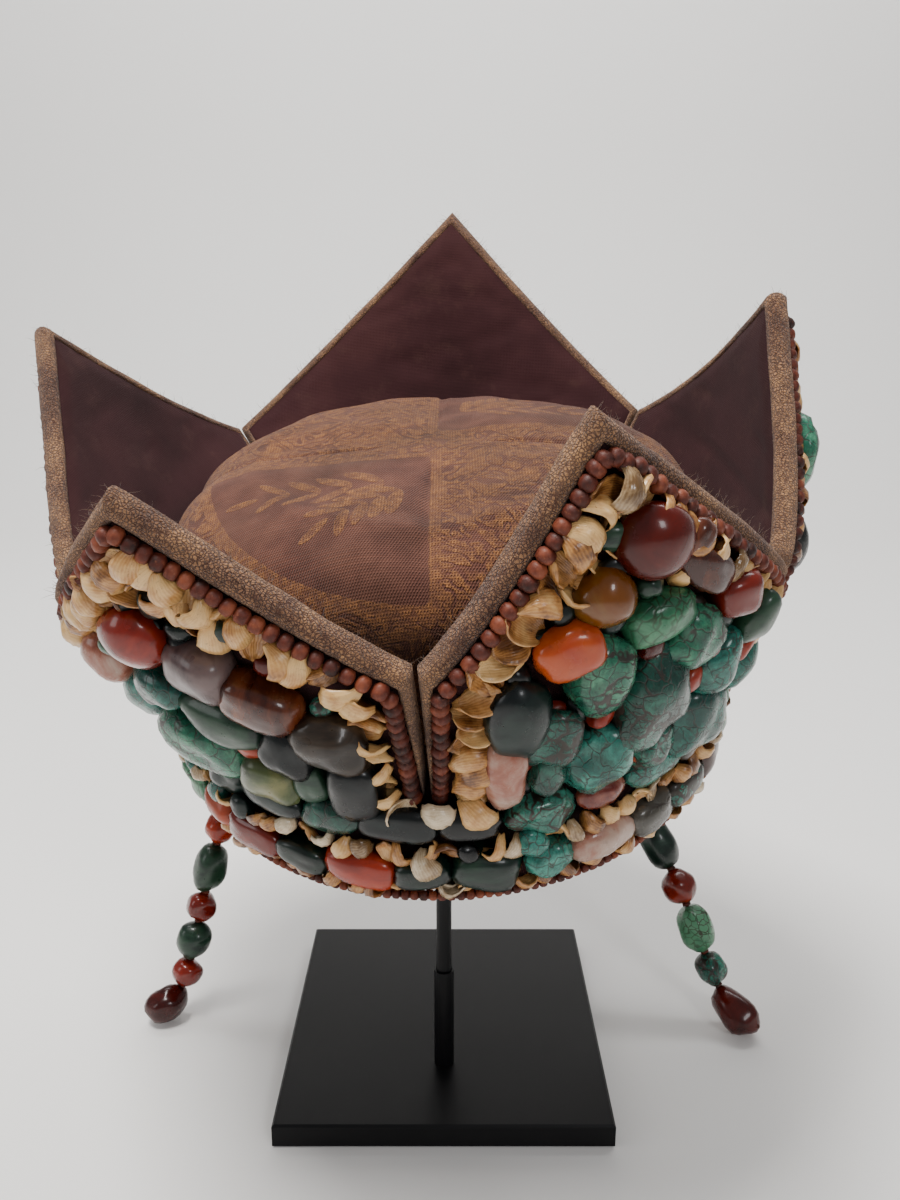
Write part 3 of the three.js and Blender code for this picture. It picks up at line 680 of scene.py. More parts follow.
MATERIALS = {
    "turquoise": (turquoise, {
        "colours": [(30, 92, 84), (56, 144, 128), (112, 198, 178)], "matrix_share": 0.06}),
    "turquoise_dark": (turquoise, {
        "colours": [(30, 78, 68), (50, 120, 102), (94, 168, 144)], "matrix_share": 0.21}),
    "turquoise_green": (turquoise, {
        "colours": [(36, 96, 76), (66, 146, 112), (122, 190, 150)], "matrix_share": 0.09, "cell": 170}),
    "jade": (polished, {
        "colours": [(44, 100, 74), (76, 148, 112), (126, 186, 148)], "scale": 120, "veins": (72, 62, 38),
        "vein_scale": 300, "vein_width": 0.04}),
    "jade_dark": (polished, {
        "colours": [(18, 40, 34), (36, 68, 56), (68, 102, 80)], "scale": 80, "streak": (1, 1, 2.5)}),
    "jade_yellow": (polished, {"colours": [(62, 78, 48), (112, 124, 76), (158, 156, 104)], "scale": 75}),
    "night": (polished, {
        "colours": [(12, 20, 22), (22, 38, 40), (52, 72, 66)], "scale": 60, "gloss": 0.14, "coat": 0.2}),
    "carnelian": (polished, {
        "colours": [(146, 44, 12), (200, 72, 20), (222, 110, 44)], "scale": 45, "gloss": 0.1, "coat": 0.6}),
    "carnelian_red": (polished, {
        "colours": [(122, 30, 16), (178, 58, 30), (206, 96, 52)], "scale": 40, "gloss": 0.08, "coat": 0.7}),
    "carnelian_dark": (polished, {
        "colours": [(78, 22, 14), (122, 38, 22), (152, 60, 36)], "scale": 40, "gloss": 0.1, "coat": 0.3}),
    "coral": (polished, {
        "colours": [(150, 48, 26), (192, 74, 42), (212, 108, 72)], "scale": 90, "gloss": 0.22}),
    "agate": (polished, {
        "colours": [(92, 44, 26), (146, 84, 52), (186, 128, 90)], "scale": 60, "streak": (3, 1, 1),
        "gloss": 0.1, "coat": 0.6}),
    "agate_yellow": (polished, {
        "colours": [(150, 94, 22), (162, 124, 66), (168, 154, 128)], "scale": 44, "gloss": 0.08,
        "coat": 0.7}),
    "agate_pink": (polished, {
        "colours": [(138, 56, 42), (200, 136, 114), (226, 198, 182)], "scale": 80, "streak": (1, 1.6, 1),
        "gloss": 0.1, "coat": 0.6}),
    "grape": (polished, {
        "colours": [(70, 50, 52), (108, 86, 88), (152, 132, 130)], "scale": 45, "streak": (2, 1, 1)}),
    "pebble": (polished, {
        "colours": [(66, 54, 44), (104, 90, 76), (144, 128, 110)], "scale": 60, "streak": (1, 1, 3)}),
    "crystal": (polished, {
        "colours": [(110, 106, 98), (146, 140, 130), (190, 184, 174)], "scale": 50, "veins": (80, 70, 60),
        "vein_scale": 90, "vein_width": 0.02, "gloss": 0.12, "coat": 0.6}),
    "shell": (shell, {"colours": [(112, 72, 36), (186, 138, 84), (220, 184, 130)], "gloss": 0.32}),
    "pearl": (shell, {"colours": [(118, 92, 62), (172, 148, 116), (216, 200, 174)], "gloss": 0.14}),
    "seed_bead": (seed_bead, {}),
    "lining": (lining, {}),
    "binding": (binding_cloth, {}),
    "brocade": (brocade, {}),
    "thread": (thread_cloth, {}),
    "black_metal": (black_metal, {}),
}
made = {}


def material(kind):
    if kind not in made:
        make, values = MATERIALS[kind]
        made[kind] = make(kind, **values)
    return made[kind]


# Lobe surface: a flat pattern of five corners that is curved on to the crown

class Lobe:
    """One lobe's flat pattern, measured across and up from its foot, and its place on the crown."""

    def __init__(self, index):
        self.name, tip = LOBES[index]
        turn_a, radius_a, height_a = VALLEYS[index]
        turn_b, radius_b, height_b = VALLEYS[(index + 1) % len(VALLEYS)]
        if turn_b < turn_a:
            turn_b += 360
        margin = math.degrees(VALLEY_GAP / LOBE_RADIUS)
        turns = (turn_a + margin, turn_b - margin)
        self.feet = [polar(turn, LOBE_RADIUS, LOBE_FOOT) for turn in turns]
        self.shoulders = [
            polar(turns[0], radius_a * LOBE_RADIUS, height_a * LOBE_RISE),
            polar(turns[1], radius_b * LOBE_RADIUS, height_b * LOBE_RISE),
        ]
        self.tip = polar(tip[0], tip[1] * LOBE_RADIUS, tip[2] * LOBE_RISE)
        self.lean = 2 * (tip[0] - turn_a) / (turn_b - turn_a) - 1
        self.outward = polar((turn_a + turn_b) / 2, 1, 0)
        self.bow = LOBE_RADIUS * (1 - math.cos(rad((turn_b - turn_a) / 2)))
        self.side = sum((foot - shoulder).length for foot, shoulder in zip(self.feet, self.shoulders)) / 2
        middle = (self.shoulders[0] + self.shoulders[1]) / 2 + self.outward * self.bow * 0.6
        self.reach = 1 + (self.tip - middle).length / self.side
        self.height = self.side * self.reach
        self.shift = Vector((0, 0, 0))
        self.shift = self.tip - self.surface(self.lean, self.reach)

    def surface(self, across, up):
        left = self.feet[0].lerp(self.shoulders[0], up)
        right = self.feet[1].lerp(self.shoulders[1], up)
        point = left.lerp(right, (across + 1) / 2)
        point += self.outward * (self.bow * (1 - across * across) * max(0.12, 1 - 0.42 * up))
        past = max(0, (up - 1) / (self.reach - 1))
        return point + self.shift * past ** 1.3

    def half_width(self, y):
        up = y / self.side
        left = self.feet[0].lerp(self.shoulders[0], up)
        return (left - self.feet[1].lerp(self.shoulders[1], up)).length / 2

    def point(self, x, y):
        return self.surface(x / self.half_width(y), y / self.side)

    def frame(self, x, y):
        """Place on the lobe's inner face, its two directions and the outward normal."""
        along_x = (self.point(x + 0.5, y) - self.point(x - 0.5, y)).normalized()
        rise = self.point(x, y + 0.5) - self.point(x, y - 0.5)
        normal = along_x.cross(rise).normalized()
        return self.point(x, y), along_x, normal.cross(along_x), normal

    def aimed(self, x, y, angle):
        """Place on the inner face, the direction at this angle along it and the outward normal."""
        origin, along_x, along_y, normal = self.frame(x, y)
        return origin, turned(along_x, along_y, angle), normal

    def at(self, x, y, z):
        origin, _, _, normal = self.frame(x, y)
        return origin + normal * z

    def outline(self):
        """The pattern's outline from the left foot over the tip to the right foot."""
        tip_x = self.lean * self.half_width(self.height)
        foot, shoulder = self.half_width(0), self.half_width(self.side)
        return [(-foot, 0), (-shoulder, self.side), (tip_x, self.height), (shoulder, self.side), (foot, 0)]

    def inset(self, side, top=None):
        """The outline moved inward, by one distance at its sides and another at its top edges."""
        corners = self.outline()
        top = side if top is None else top
        moves = [side, top, top, side]
        lines = []
        for i in range(4):
            (ax, ay), (bx, by) = corners[i], corners[i + 1]
            length = math.hypot(bx - ax, by - ay)
            nx, ny = (by - ay) / length, -(bx - ax) / length
            lines.append(((ax + nx * moves[i], ay + ny * moves[i]), (bx - ax, by - ay)))
        result = [at_height(*lines[0], 0)]
        result += [crossing(lines[i], lines[i + 1]) for i in range(3)]
        result.append(at_height(*lines[3], 0))
        return result

    def tapered(self, foot, side, top):
        """The outline moved inward by foot at its feet, side at its shoulders and top above them."""
        corners = self.inset(side, top)
        half = self.half_width(0)
        return [(-half + foot, 0)] + corners[1:4] + [(half - foot, 0)]


def at_height(point, direction, y):
    return (point[0] + direction[0] * (y - point[1]) / direction[1], y)


def crossing(first, second):
    (ax, ay), (ux, uy) = first
    (bx, by), (vx, vy) = second
    t = ((bx - ax) * vy - (by - ay) * vx) / (ux * vy - uy * vx)
    return (ax + ux * t, ay + uy * t)


def edge_points(corners, y):
    """Where the outline crosses this height, on the left and on the right."""
    foot_left, left, tip, right, foot_right = corners

    def on(a, b):
        return a[0] + (b[0] - a[0]) * (y - a[1]) / (b[1] - a[1])

    x0 = on(foot_left, left) if y < left[1] else on(left, tip)
    x1 = on(foot_right, right) if y < right[1] else on(right, tip)
    return x0, x1


def edge_stops(corners, pitch, legs=(0, 1, 2, 3)):
    """Points along the outline's legs at about this pitch, with the direction of the leg."""
    stops = []
    for leg in legs:
        (ax, ay), (bx, by) = corners[leg], corners[leg + 1]
        steps = max(2, round(math.hypot(bx - ax, by - ay) / pitch))
        for j in range(steps):
            t = (j + 0.5) / steps
            stops.append((ax + (bx - ax) * t, ay + (by - ay) * t, math.atan2(by - ay, bx - ax)))
    return stops


# Stones

# Each form's height as a share of its breadth, its squareness and how uneven it is
FORMS = {
    "ball": (1.0, 2.0, 0.04),
    "oval": (0.82, 2.2, 0.09),
    "barrel": (0.85, 3.2, 0.06),
    "cube": (0.95, 4.5, 0.04),
    "nugget": (0.78, 2.4, 0.16),
}


def round_points(columns, rows):
    points = [Vector((0, 0, 1))]
    for i in range(1, rows):
        angle = math.pi * i / rows
        for j in range(columns):
            turn = 2 * math.pi * j / columns
            across = math.sin(angle)
            points.append(Vector((across * math.cos(turn), across * math.sin(turn), math.cos(angle))))
    points.append(Vector((0, 0, -1)))
    faces = [(0, 1 + j, 1 + (j + 1) % columns) for j in range(columns)]
    for i in range(rows - 2):
        for j in range(columns):
            a, b = 1 + i * columns + j, 1 + i * columns + (j + 1) % columns
            faces.append((a, a + columns, b + columns, b))
    last = len(points) - 1
    start = last - columns
    faces += [(last, start + (j + 1) % columns, start + j) for j in range(columns)]
    return points, faces


STONE_MESH = round_points(columns=22, rows=13)
BEAD_MESH = round_points(columns=10, rows=6)


def squared(p, power):
    """The unit sphere's point p on a rounder or squarer solid."""
    size = (abs(p.x) ** power + abs(p.y) ** power + abs(p.z) ** power) ** (1 / power)
    return p / size


def add_stone(piece, centre, along, beside, out, length, breadth, thick, form, kind, rng):
    _, power, rough = FORMS[form]
    seed = random_vector(rng, 50)
    pull = rng.uniform(-0.12, 0.12)
    points = []
    for p in STONE_MESH[0]:
        q = squared(p, power)
        q *= 1 + rough * 2 * noise.noise(q * 1.2 + seed) + 0.012 * noise.noise(q * 5 + seed)
        wide = 1 + pull * q.x
        points.append(centre + along * (q.x * length / 2) + beside * (q.y * wide * breadth / 2)
                      + out * (q.z * wide * thick / 2))
    piece.add(points, STONE_MESH[1], kind, rng.random())


def lobe_stone(piece, lobe, x, y, length, breadth, turn, form, kind, rng):
    origin, along, normal = lobe.aimed(x, y, rad(turn))
    out = (normal + random_vector(rng, 0.12)).normalized()
    along = (along - out * along.dot(out)).normalized()
    top = STONE_PROUD * STONE + 0.3 * breadth
    thick = min(max(breadth * FORMS[form][0], top), top + STONE_FLOOR - LEAST_DEPTH)
    centre = origin + normal * (STONE_FLOOR + top - thick / 2)
    add_stone(piece, centre, along, out.cross(along), out, length, breadth, thick, form, kind, rng)


def listed_stones(piece, lobe, rng):
    for across, up, length, breadth, turn, form, kind in FRONT_STONES[lobe.name]:
        y = up * lobe.height
        x = across * lobe.half_width(y)
        lobe_stone(piece, lobe, x, y, length * STONE, breadth * STONE, turn, form, kind, rng)


def coursed_stones(piece, lobe, rng):
    field = lobe.inset(BINDING_WIDTH + CHIP_WIDTH)
    rise = COURSE_RISE * COURSE_STONE
    number = 0
    y = 0.45 * rise
    while y < field[2][1] - 0.3 * STONE:
        x0, x1 = edge_points(field, y)
        count = max(1, round((x1 - x0) / COURSE_STONE))
        step = max(x1 - x0, 0.7 * STONE) / count
        for i in range(count):
            x = (x0 + x1) / 2 + (i - (count - 1) / 2) * step
            length = COURSE_FILL * step * cycled(COURSE_LENGTHS, number)
            breadth = COURSE_FILL * rise * cycled(COURSE_BREADTHS, number)
            lift = rise * cycled(COURSE_LIFTS, number)
            kind = cycled(COURSE_KINDS, number * 5 + len(lobe.name))
            form = cycled(COURSE_FORMS, number)
            lobe_stone(piece, lobe, x, y + lift, length, breadth, 12 * (number % 3 - 1), form, kind, rng)
            number += 1
        y += rise


def small_stone(piece, centre, along, out, kinds, rng):
    size = rng.uniform(6, 9)
    kind = rng.choice(kinds)
    add_stone(piece, centre, along, out.cross(along), out, size * 1.2, size, size * 0.8, "oval", kind, rng)


def painted_shade_fillers(piece, lobe, rng):
    """Small stones low between the large ones, so that no bare cloth shows; being mostly of dark kinds,
    they are also painted shade for the gaps.
    """
    field = lobe.inset(BINDING_WIDTH + 1.2 * CHIP_WIDTH)
    # Mostly dark kinds, as painted shade in the gaps between the large stones
    kinds = ["coral", "jade_dark", "night", "turquoise_dark", "carnelian_dark", "night", "night"]
    y = 3
    while y < field[2][1] - 8:
        x0, x1 = edge_points(field, y)
        count = max(1, round((x1 - x0) / FILLER_PITCH))
        for i in range(count):
            x = x0 + (x1 - x0) * (i + 0.5) / count + rng.uniform(-2, 2)
            if rng.random() < FILLER_GAPS:
                continue
            origin, along, normal = lobe.aimed(x, y + rng.uniform(-2, 2), rng.uniform(0, math.pi))
            small_stone(piece, origin + normal * (STONE_FLOOR + 0.6), along, normal, kinds, rng)
        y += FILLER_PITCH


# Shell chips and seed beads

def chip_points(length, breadth, rng):
    """A curled flake of shell: a thin twisted sheet bent round its length, narrow at one end."""
    steps = 8
    arc = rng.uniform(0.7, 1.35)
    bend, twist, narrow = rng.uniform(0.05, 0.35), rng.uniform(-0.6, 0.6), rng.uniform(-0.15, 0.3)
    cupped = rng.random() < 0.35
    spread = max(0.75, math.sin(min(arc, 1.57)))
    seed = Vector((rng.uniform(-40, 40), rng.uniform(-40, 40), 0))
    points, grain = [], []
    for side in (1, -1):
        for i in range(steps + 1):
            u = 2 * i / steps - 1
            for j in range(steps + 1):
                v = 2 * j / steps - 1
                edge = 0.14 * noise.noise(Vector((u * 1.6, v * 1.6, 0)) + seed)
                radius = breadth / 2 * (1 - 0.6 * abs(u) ** 3) * (1 - narrow * u) / spread
                angle = arc * v * (1 + edge)
                thick = side * (0.25 + 0.55 * (1 - max(u * u, v * v)))
                x = u * length / 2 * (1 - 0.2 * v * v + edge)
                y = (radius + thick) * math.sin(angle)
                z = (radius + thick) * math.cos(angle) - bend * length / 2 * u * u
                z += breadth * 0.1 * noise.noise(Vector((u * 2.2, v * 2.2, 3)) + seed)
                if cupped:
                    z = radius * 0.8 - z
                turn = twist * u
                points.append(Vector((x, y * math.cos(turn) - z * math.sin(turn),
                                      y * math.sin(turn) + z * math.cos(turn) - 0.25 * breadth)))
                grain.append((u * length / 2, v * arc * breadth / 2))
    return points, slab_faces(steps, steps), grain


def add_chip(piece, centre, along, out, length, breadth, rng, pearl=0.05, kind=None):
    points, faces, grain = chip_points(length, breadth, rng)
    roll = Matrix.Rotation(0.65 + rng.uniform(-0.45, 0.45), 3, along)
    lean = roll @ Matrix.Rotation(rng.uniform(-0.4, 0.4), 3, out)
    along, out = lean @ along, lean @ out
    beside = out.cross(along)
    kind = kind or ("pearl" if rng.random() < pearl else "shell")
    places = [centre + along * p.x + beside * p.y + out * p.z for p in points]
    piece.add(places, faces, kind, rng.random(), grain)


def lobe_chips(piece, lobe, rng):
    """A row of shell along the beads, and a second one inside it near the tip."""
    side = BINDING_WIDTH * BINDING_SIDE + SEED_BEAD
    top = BINDING_WIDTH + SEED_BEAD * 0.6
    for row in (0, 1):
        deep = (0.5 + 0.8 * row) * CHIP_WIDTH
        corners = lobe.tapered(SEED_BEAD + deep, side + deep, top + deep)
        for x, y, direction in edge_stops(corners, CHIP_PITCH):
            if row and y < corners[2][1] - TIP_SHELL:
                continue
            across = direction + math.pi / 2 + rng.uniform(-0.6, 0.6)
            origin, along, normal = lobe.aimed(x, y, across)
            centre = origin + normal * (STONE_FLOOR + rng.uniform(1.4, 3.2) - 1.5 * row)
            length = CHIP_WIDTH * rng.uniform(1.1, 1.5)
            add_chip(piece, centre, along, normal, length, rng.uniform(8, 11), rng)


def add_seed(piece, centre, axis, size, rng, squat=0.84):
    side = axis.orthogonal().normalized()
    third = axis.cross(side)
    wide = size * rng.uniform(0.93, 1.05)
    long = size * squat * rng.uniform(0.94, 1.06)
    points = []
    for p in BEAD_MESH[0]:
        q = squared(p, 3.0)
        points.append(centre + axis * (q.z * long / 2) + side * (q.x * wide / 2) + third * (q.y * wide / 2))
    piece.add(points, BEAD_MESH[1], "seed_bead", rng.random())


def lobe_seeds(piece, lobe, rng):
    """One line of seed beads inside the binding, flatter and closer down the lobe's sides."""
    deep = SEED_BEAD * 0.35
    corners = lobe.tapered(SEED_BEAD * 0.5, BINDING_WIDTH * BINDING_SIDE + deep, BINDING_WIDTH + deep)
    for legs, squat in (((0, 3), 0.72), ((1, 2), 0.87)):
        for x, y, direction in edge_stops(corners, SEED_BEAD * squat, legs):
            origin, axis, normal = lobe.aimed(x, y, direction)
            beside = normal.cross(axis)
            wander = rng.uniform(-0.25, 0.25)
            centre = origin + normal * (BINDING_THICK + SEED_BEAD * 0.42) + beside * wander
            lean = normal * rng.uniform(-0.15, 0.15) + beside * rng.uniform(-0.15, 0.15)
            add_seed(piece, centre, (axis + lean).normalized(), SEED_BEAD, rng, squat)


def lobe_field(lobe, rng):
    piece = Piece("stones_and_shell_" + lobe.name)
    if lobe.name in FRONT_STONES:
        listed_stones(piece, lobe, rng)
    else:
        coursed_stones(piece, lobe, rng)
    painted_shade_fillers(piece, lobe, rng)
    lobe_chips(piece, lobe, rng)
    piece.build("stones_" + lobe.name)
    seeds = Piece("seed_beads_" + lobe.name)
    lobe_seeds(seeds, lobe, rng)
    seeds.build()


# Padded cloth of the lobes

def lobe_body(lobe):
    """The padded lobe: its lining puffs and creases, and its outer side lies under the stones."""
    corners = lobe.tapered(0.1, 0.4, 1.2)
    columns, rows = 44, 46
    tip = corners[2][1]
    bend = (corners[1][1] + corners[3][1]) / 2
    top = tip - (tip - bend) / (corners[3][0] - corners[1][0]) * TIP_WIDTH * 0.6
    points, grain = [], []
    seed = Vector((len(lobe.name) * 3.1, lobe.height * 0.2, 0))
    for side in (0, 1):
        for i in range(rows + 1):
            y = top * (i / rows) ** 0.9
            x0, x1 = edge_points(corners, y)
            for j in range(columns + 1):
                x = x0 + (x1 - x0) * j / columns
                inside = min(x - x0, x1 - x, (top - y) * 0.7 + 1.5)
                soft = smoothstep(0, 12, inside)
                depth = LOBE_THICK if side else lining_depth(x, y, soft, seed)
                points.append(lobe.at(x, y, depth))
                grain.append((x, y))
    piece = Piece("padded_lobe_" + lobe.name)
    piece.add(points, slab_faces(rows, columns), "lining", grain=grain)
    piece.build("lobe_" + lobe.name)


def lining_depth(x, y, soft, seed):
    """Depth of the lining's puff, folds and creases, none of them at its edges."""
    place = Vector((x * 0.012, y * 0.03, 0)) + seed
    puff = -1.3 * soft
    folds = 1.1 * noise.noise(place) + 0.5 * noise.noise(place * 2.7)
    crease = abs(noise.noise(Vector((x * 0.008, y * 0.05, 7)) + seed * 0.5))
    dent = 0.9 * math.exp(-(crease / 0.05) ** 2)
    return puff + soft * (folds * 0.8 + dent)


# Steps along each of the binding's four legs, the two legs at the lobe's top, and the length of
# cloth that one step stands for there and along the sides
BINDING_STEPS = 40
TOP_LEGS = (1, 2)
BINDING_GRAIN = 1.9
SIDE_GRAIN = 4.2

# The rolled edge's section, as distance inward and depth, round the outer and the inner side
BINDING_SECTION = [
    (5.4, 6.2), (4.8, 6.8), (3.7, 7.2), (2.3, 7.2), (0.9, 6.6), (0.1, 5.5), (-0.3, 4.0), (-0.3, 2.2),
    (0.2, 0.6), (1.0, -0.4), (2.1, -0.8), (3.2, -0.7), (3.9, -0.2), (4.1, 1.0), (4.8, 4.0),
]


def binding(lobe, rng):
    piece = Piece("woven_binding_" + lobe.name)
    rings, grain = [], []
    seed = Vector((lobe.height, 0, 0))
    travelled = 0
    stops = [(leg, t / BINDING_STEPS) for leg in range(4)
             for t in range(0, BINDING_STEPS, 1 if leg in TOP_LEGS else 2)]
    stops.append((3, 1))
    for leg, t in stops:
        wobble = 0.35 * noise.noise(seed + Vector((travelled * 0.06, 0, 0)))
        ring = []
        for k, (inward, depth) in enumerate(BINDING_SECTION):
            corners = lobe.tapered(inward * BINDING_TAPER + 0.1, inward * BINDING_SIDE, inward + wobble)
            (ax, ay), (bx, by) = corners[leg], corners[leg + 1]
            lump = 0.3 * noise.noise(seed + Vector((travelled * 0.12, k * 0.5, 0)))
            ring.append(lobe.at(ax + (bx - ax) * t, max(0, ay + (by - ay) * t), depth + lump))
            grain.append((travelled, k * BINDING_GRAIN))
        rings.append(ring)
        travelled += BINDING_GRAIN if leg in TOP_LEGS else SIDE_GRAIN
    tube(piece, rings, "binding", grain=grain)
    piece.build("binding_" + lobe.name)
    edge_hairs(lobe, rng)


HAIR_RADIUS = 0.09
HAIR_STEPS = 4


def hair(piece, start, direction, length, rng):
    """A loose thread end, bent as it goes."""
    rings = []
    point, way = start.copy(), direction.normalized()
    side = way.orthogonal().normalized()
    for i in range(HAIR_STEPS + 1):
        width = HAIR_RADIUS * (1 - 0.2 * i)
        third = way.cross(side).normalized()
        rings.append([point + turned(side, third, a) * width for a in (0, 2.1, 4.2)])
        way = (way + random_vector(rng, 1) * 0.4).normalized()
        point = point + way * (length / HAIR_STEPS)
    tube(piece, rings, "thread", rng.random())


def edge_hairs(lobe, rng):
    piece = Piece("loose_threads_" + lobe.name)
    for x, y, direction in edge_stops(lobe.inset(0.5), 1.6, TOP_LEGS):
        for _ in range(2):
            origin, along_x, along_y, normal = lobe.frame(x, y)
            away = turned(along_x, along_y, direction + math.pi / 2)
            start = origin + normal * rng.uniform(0, 6) + away * 0.3
            way = away + normal * rng.uniform(-0.9, 0.9) + along_x * rng.uniform(-0.9, 0.9)
            hair(piece, start, way, rng.uniform(1.5, 4.5), rng)
    piece.build()


# Cap

# Radius as a share of HEAD_RADIUS and height as a share of CAP_HEIGHT, from the band to the apex
CAP_PROFILE = [(1.02, 0.5), (1.04, 0.7), (0.98, 0.85), (0.78, 0.95), (0.38, 0.99), (0, 1)]
PROFILE_STEPS = 14
CAP_COLUMNS = 240
CAP_SEAMS = (-2, 88, 178, 268)


def cap_route():
    """The cap's outer profile from its apex down to its foot, smoothed."""
    corners = [Vector((r * HEAD_RADIUS, h * CAP_HEIGHT)) for r, h in reversed(CAP_PROFILE)]
    corners += [Vector((HEAD_RADIUS - GAP, BAND_HEIGHT)), Vector((HEAD_RADIUS - GAP, CAP_FOOT))]
    route = [corners[0]]
    for i in range(len(corners) - 1):
        before = corners[max(0, i - 1)]
        after = corners[min(len(corners) - 1, i + 2)]
        for k in range(1, PROFILE_STEPS + 1):
            route.append(curve_point(before, corners[i], corners[i + 1], after, k / PROFILE_STEPS))
    return route


def cap():
    route = cap_route()
    columns = CAP_COLUMNS
    travelled = distances(route)
    points, grain, tones = [], [], []
    for wall in (0, CAP_WALL):
        for i, profile in enumerate(route):
            run = run_at(route, i)
            normal = Vector((-run.y, run.x))
            if normal.dot(profile - Vector((0, 40))) < 0:
                normal = -normal
            for j in range(columns):
                turn = 360 * j / columns
                lift = cap_relief(turn, travelled[i], profile) if not wall else -CAP_WALL
                spot = profile + normal * lift
                points.append(polar(turn, max(0.4, spot.x), spot.y))
                flat = polar(turn, travelled[i], 0)
                grain.append((flat.x, flat.y))
                tones.append(cap_band(turn, travelled[i]))
    outer = strip_faces(len(route), columns, closed_columns=True)
    count = len(route) * columns
    faces = [face[::-1] for face in outer] + [tuple(count + i for i in face) for face in outer]
    faces += [tuple(range(columns)), tuple(range(count, count + columns))[::-1]]
    rim = count - columns
    for j in range(columns):
        k = (j + 1) % columns
        faces.append((rim + j, rim + k, count + rim + k, count + rim + j))
    piece = Piece("brocade_cap")
    piece.add(points, faces, "brocade", grain=grain)
    piece.tones = tones
    piece.build("cap")


def turn_between(a, b):
    return abs((a - b + 180) % 360 - 180)


def seam_distance(turn, travelled):
    """Distance to the nearest of the cap's four seams, over the front, back and sides."""
    return min(turn_between(turn, seam) for seam in CAP_SEAMS) * rad(1) * travelled


def cap_relief(turn, travelled, profile):
    """How far the cloth stands out: grooves at the seams, soft folds, and a ridge across the back."""
    seam = seam_distance(turn, travelled)
    near = smoothstep(12, 30, travelled)
    groove = -1.1 * math.exp(-(seam / 1.3) ** 2) * near
    swell = 1.6 * smoothstep(2, 22, seam) * near
    place = polar(turn, profile.x * 0.03, profile.y * 0.03)
    folds = 1.5 * noise.noise(place + Vector((3, 9, 2))) + 0.7 * noise.noise(place * 2.4)
    behind = smoothstep(40, 75, 180 - turn_between(turn, CAP_SEAMS[0]))
    ridge = 1.5 * math.exp(-((travelled - 62) / 4.5) ** 2) * behind
    return (groove + swell + folds) * smoothstep(0, 14, profile.y - BAND_HEIGHT) - 1.2 + ridge * 0.7


def cap_band(turn, travelled):
    """Distance inside the front panel's outline or the back one's, as a share about one half."""
    spot = polar(turn, travelled, 0)
    return 0.5 + max(panel_depth(spot), panel_depth(-spot)) / TONE_REACH


def panel_depth(spot):
    """Distance inside the panel's seam, upper edge and oval, below 0 outside."""
    oval = (1 - math.hypot(spot.x / PANEL_SIDE, spot.y / PANEL_FRONT)) * PANEL_SIDE
    return min(-spot.x - PANEL_SEAM, -spot.y - PANEL_TOP, oval)


# Brow band

BAND_COLUMNS = 120
BAND_SIDES = 24


def brow_band():
    """Padded cloth wall with a rolled foot, mostly under its stones."""
    section = []
    for k in range(BAND_SIDES):
        angle = 2 * math.pi * k / BAND_SIDES
        q = squared(Vector((math.cos(angle), 0, math.sin(angle))), 8)
        section.append((q.x * BAND_WALL / 2, q.z * BAND_HEIGHT / 2))
    rings, grain = [], []
    for j in range(BAND_COLUMNS):
        turn = 360 * j / BAND_COLUMNS
        swell = 0.3 * noise.noise(polar(turn, 4, 0))
        rings.append([
            polar(turn, HEAD_RADIUS + BAND_WALL / 2 + dr * (1 + swell * 0.1), BAND_HEIGHT / 2 + dh)
            for dr, dh in section
        ])
        grain += [(turn * 1.6, k * 4.0) for k in range(BAND_SIDES)]
    piece = Piece("padded_brow_band")
    faces = strip_faces(BAND_COLUMNS, BAND_SIDES, True, True)
    piece.add([p for ring in rings for p in ring], faces, "lining", grain=grain)
    piece.build("brow_band")


def band_field(rng):
    piece = Piece("stones_and_shell_brow")
    floor = BAND_RADIUS + GAP
    for course in BAND_COURSES:
        for i in range(course["count"]):
            turn = course["first"] + 360 * i / course["count"]
            pitch = 2 * math.pi * floor / course["count"]
            length = pitch * BAND_FILL * cycled(COURSE_LENGTHS, i) * BAND_LONGER
            breadth = course["breadth"] * STONE * cycled(COURSE_BREADTHS, i) * BAND_BROADER
            out, along = polar(turn, 1, 0), polar(turn + 90, 1, 0)
            top = floor + 1.6 + BAND_STONE_HEIGHT
            thick = max(breadth * 0.85, BAND_STONE_HEIGHT)
            centre = polar(turn, top - thick / 2, course["height"] * BAND_HEIGHT)
            kind, form = cycled(course["kinds"], i), cycled(course["forms"], i)
            lean = Matrix.Rotation(rng.uniform(-0.15, 0.15), 3, out)
            beside = lean @ Vector((0, 0, 1))
            add_stone(piece, centre, lean @ along, beside, out, length, breadth, thick, form, kind, rng)
    for turn, height, angle, length, kind in SEAM_FLAKES:
        along = Matrix.Rotation(rad(angle), 3, polar(turn, 1, 0)) @ polar(turn + 90, 1, 0)
        centre, out = polar(turn, floor + 9, height), polar(turn, 1, 0.3)
        add_chip(piece, centre, along, out, length, 9, rng, kind=kind)
    for row in BAND_CHIP_ROWS:
        height, radius = row["height"], floor + row["proud"]
        count = round(2 * math.pi * radius / row["pitch"])
        for i in range(count):
            turn = 360 * (i + rng.uniform(-0.2, 0.2)) / count
            out = polar(turn, 1, -0.25 if height < BAND_LOW else 0).normalized()
            along = Matrix.Rotation(rng.uniform(-1.2, 1.2), 3, out) @ polar(turn + 90, 1, 0)
            centre = polar(turn, radius, height + rng.uniform(-1.5, 1.5))
            if rng.random() < 0.12 and height > 20:
                small_stone(piece, centre, along, out, ["coral", "night", "turquoise"], rng)
            else:
                add_chip(piece, centre, along, out, rng.uniform(7.5, 10), rng.uniform(6, 8), rng, 0.12)
    piece.build("stones_brow")


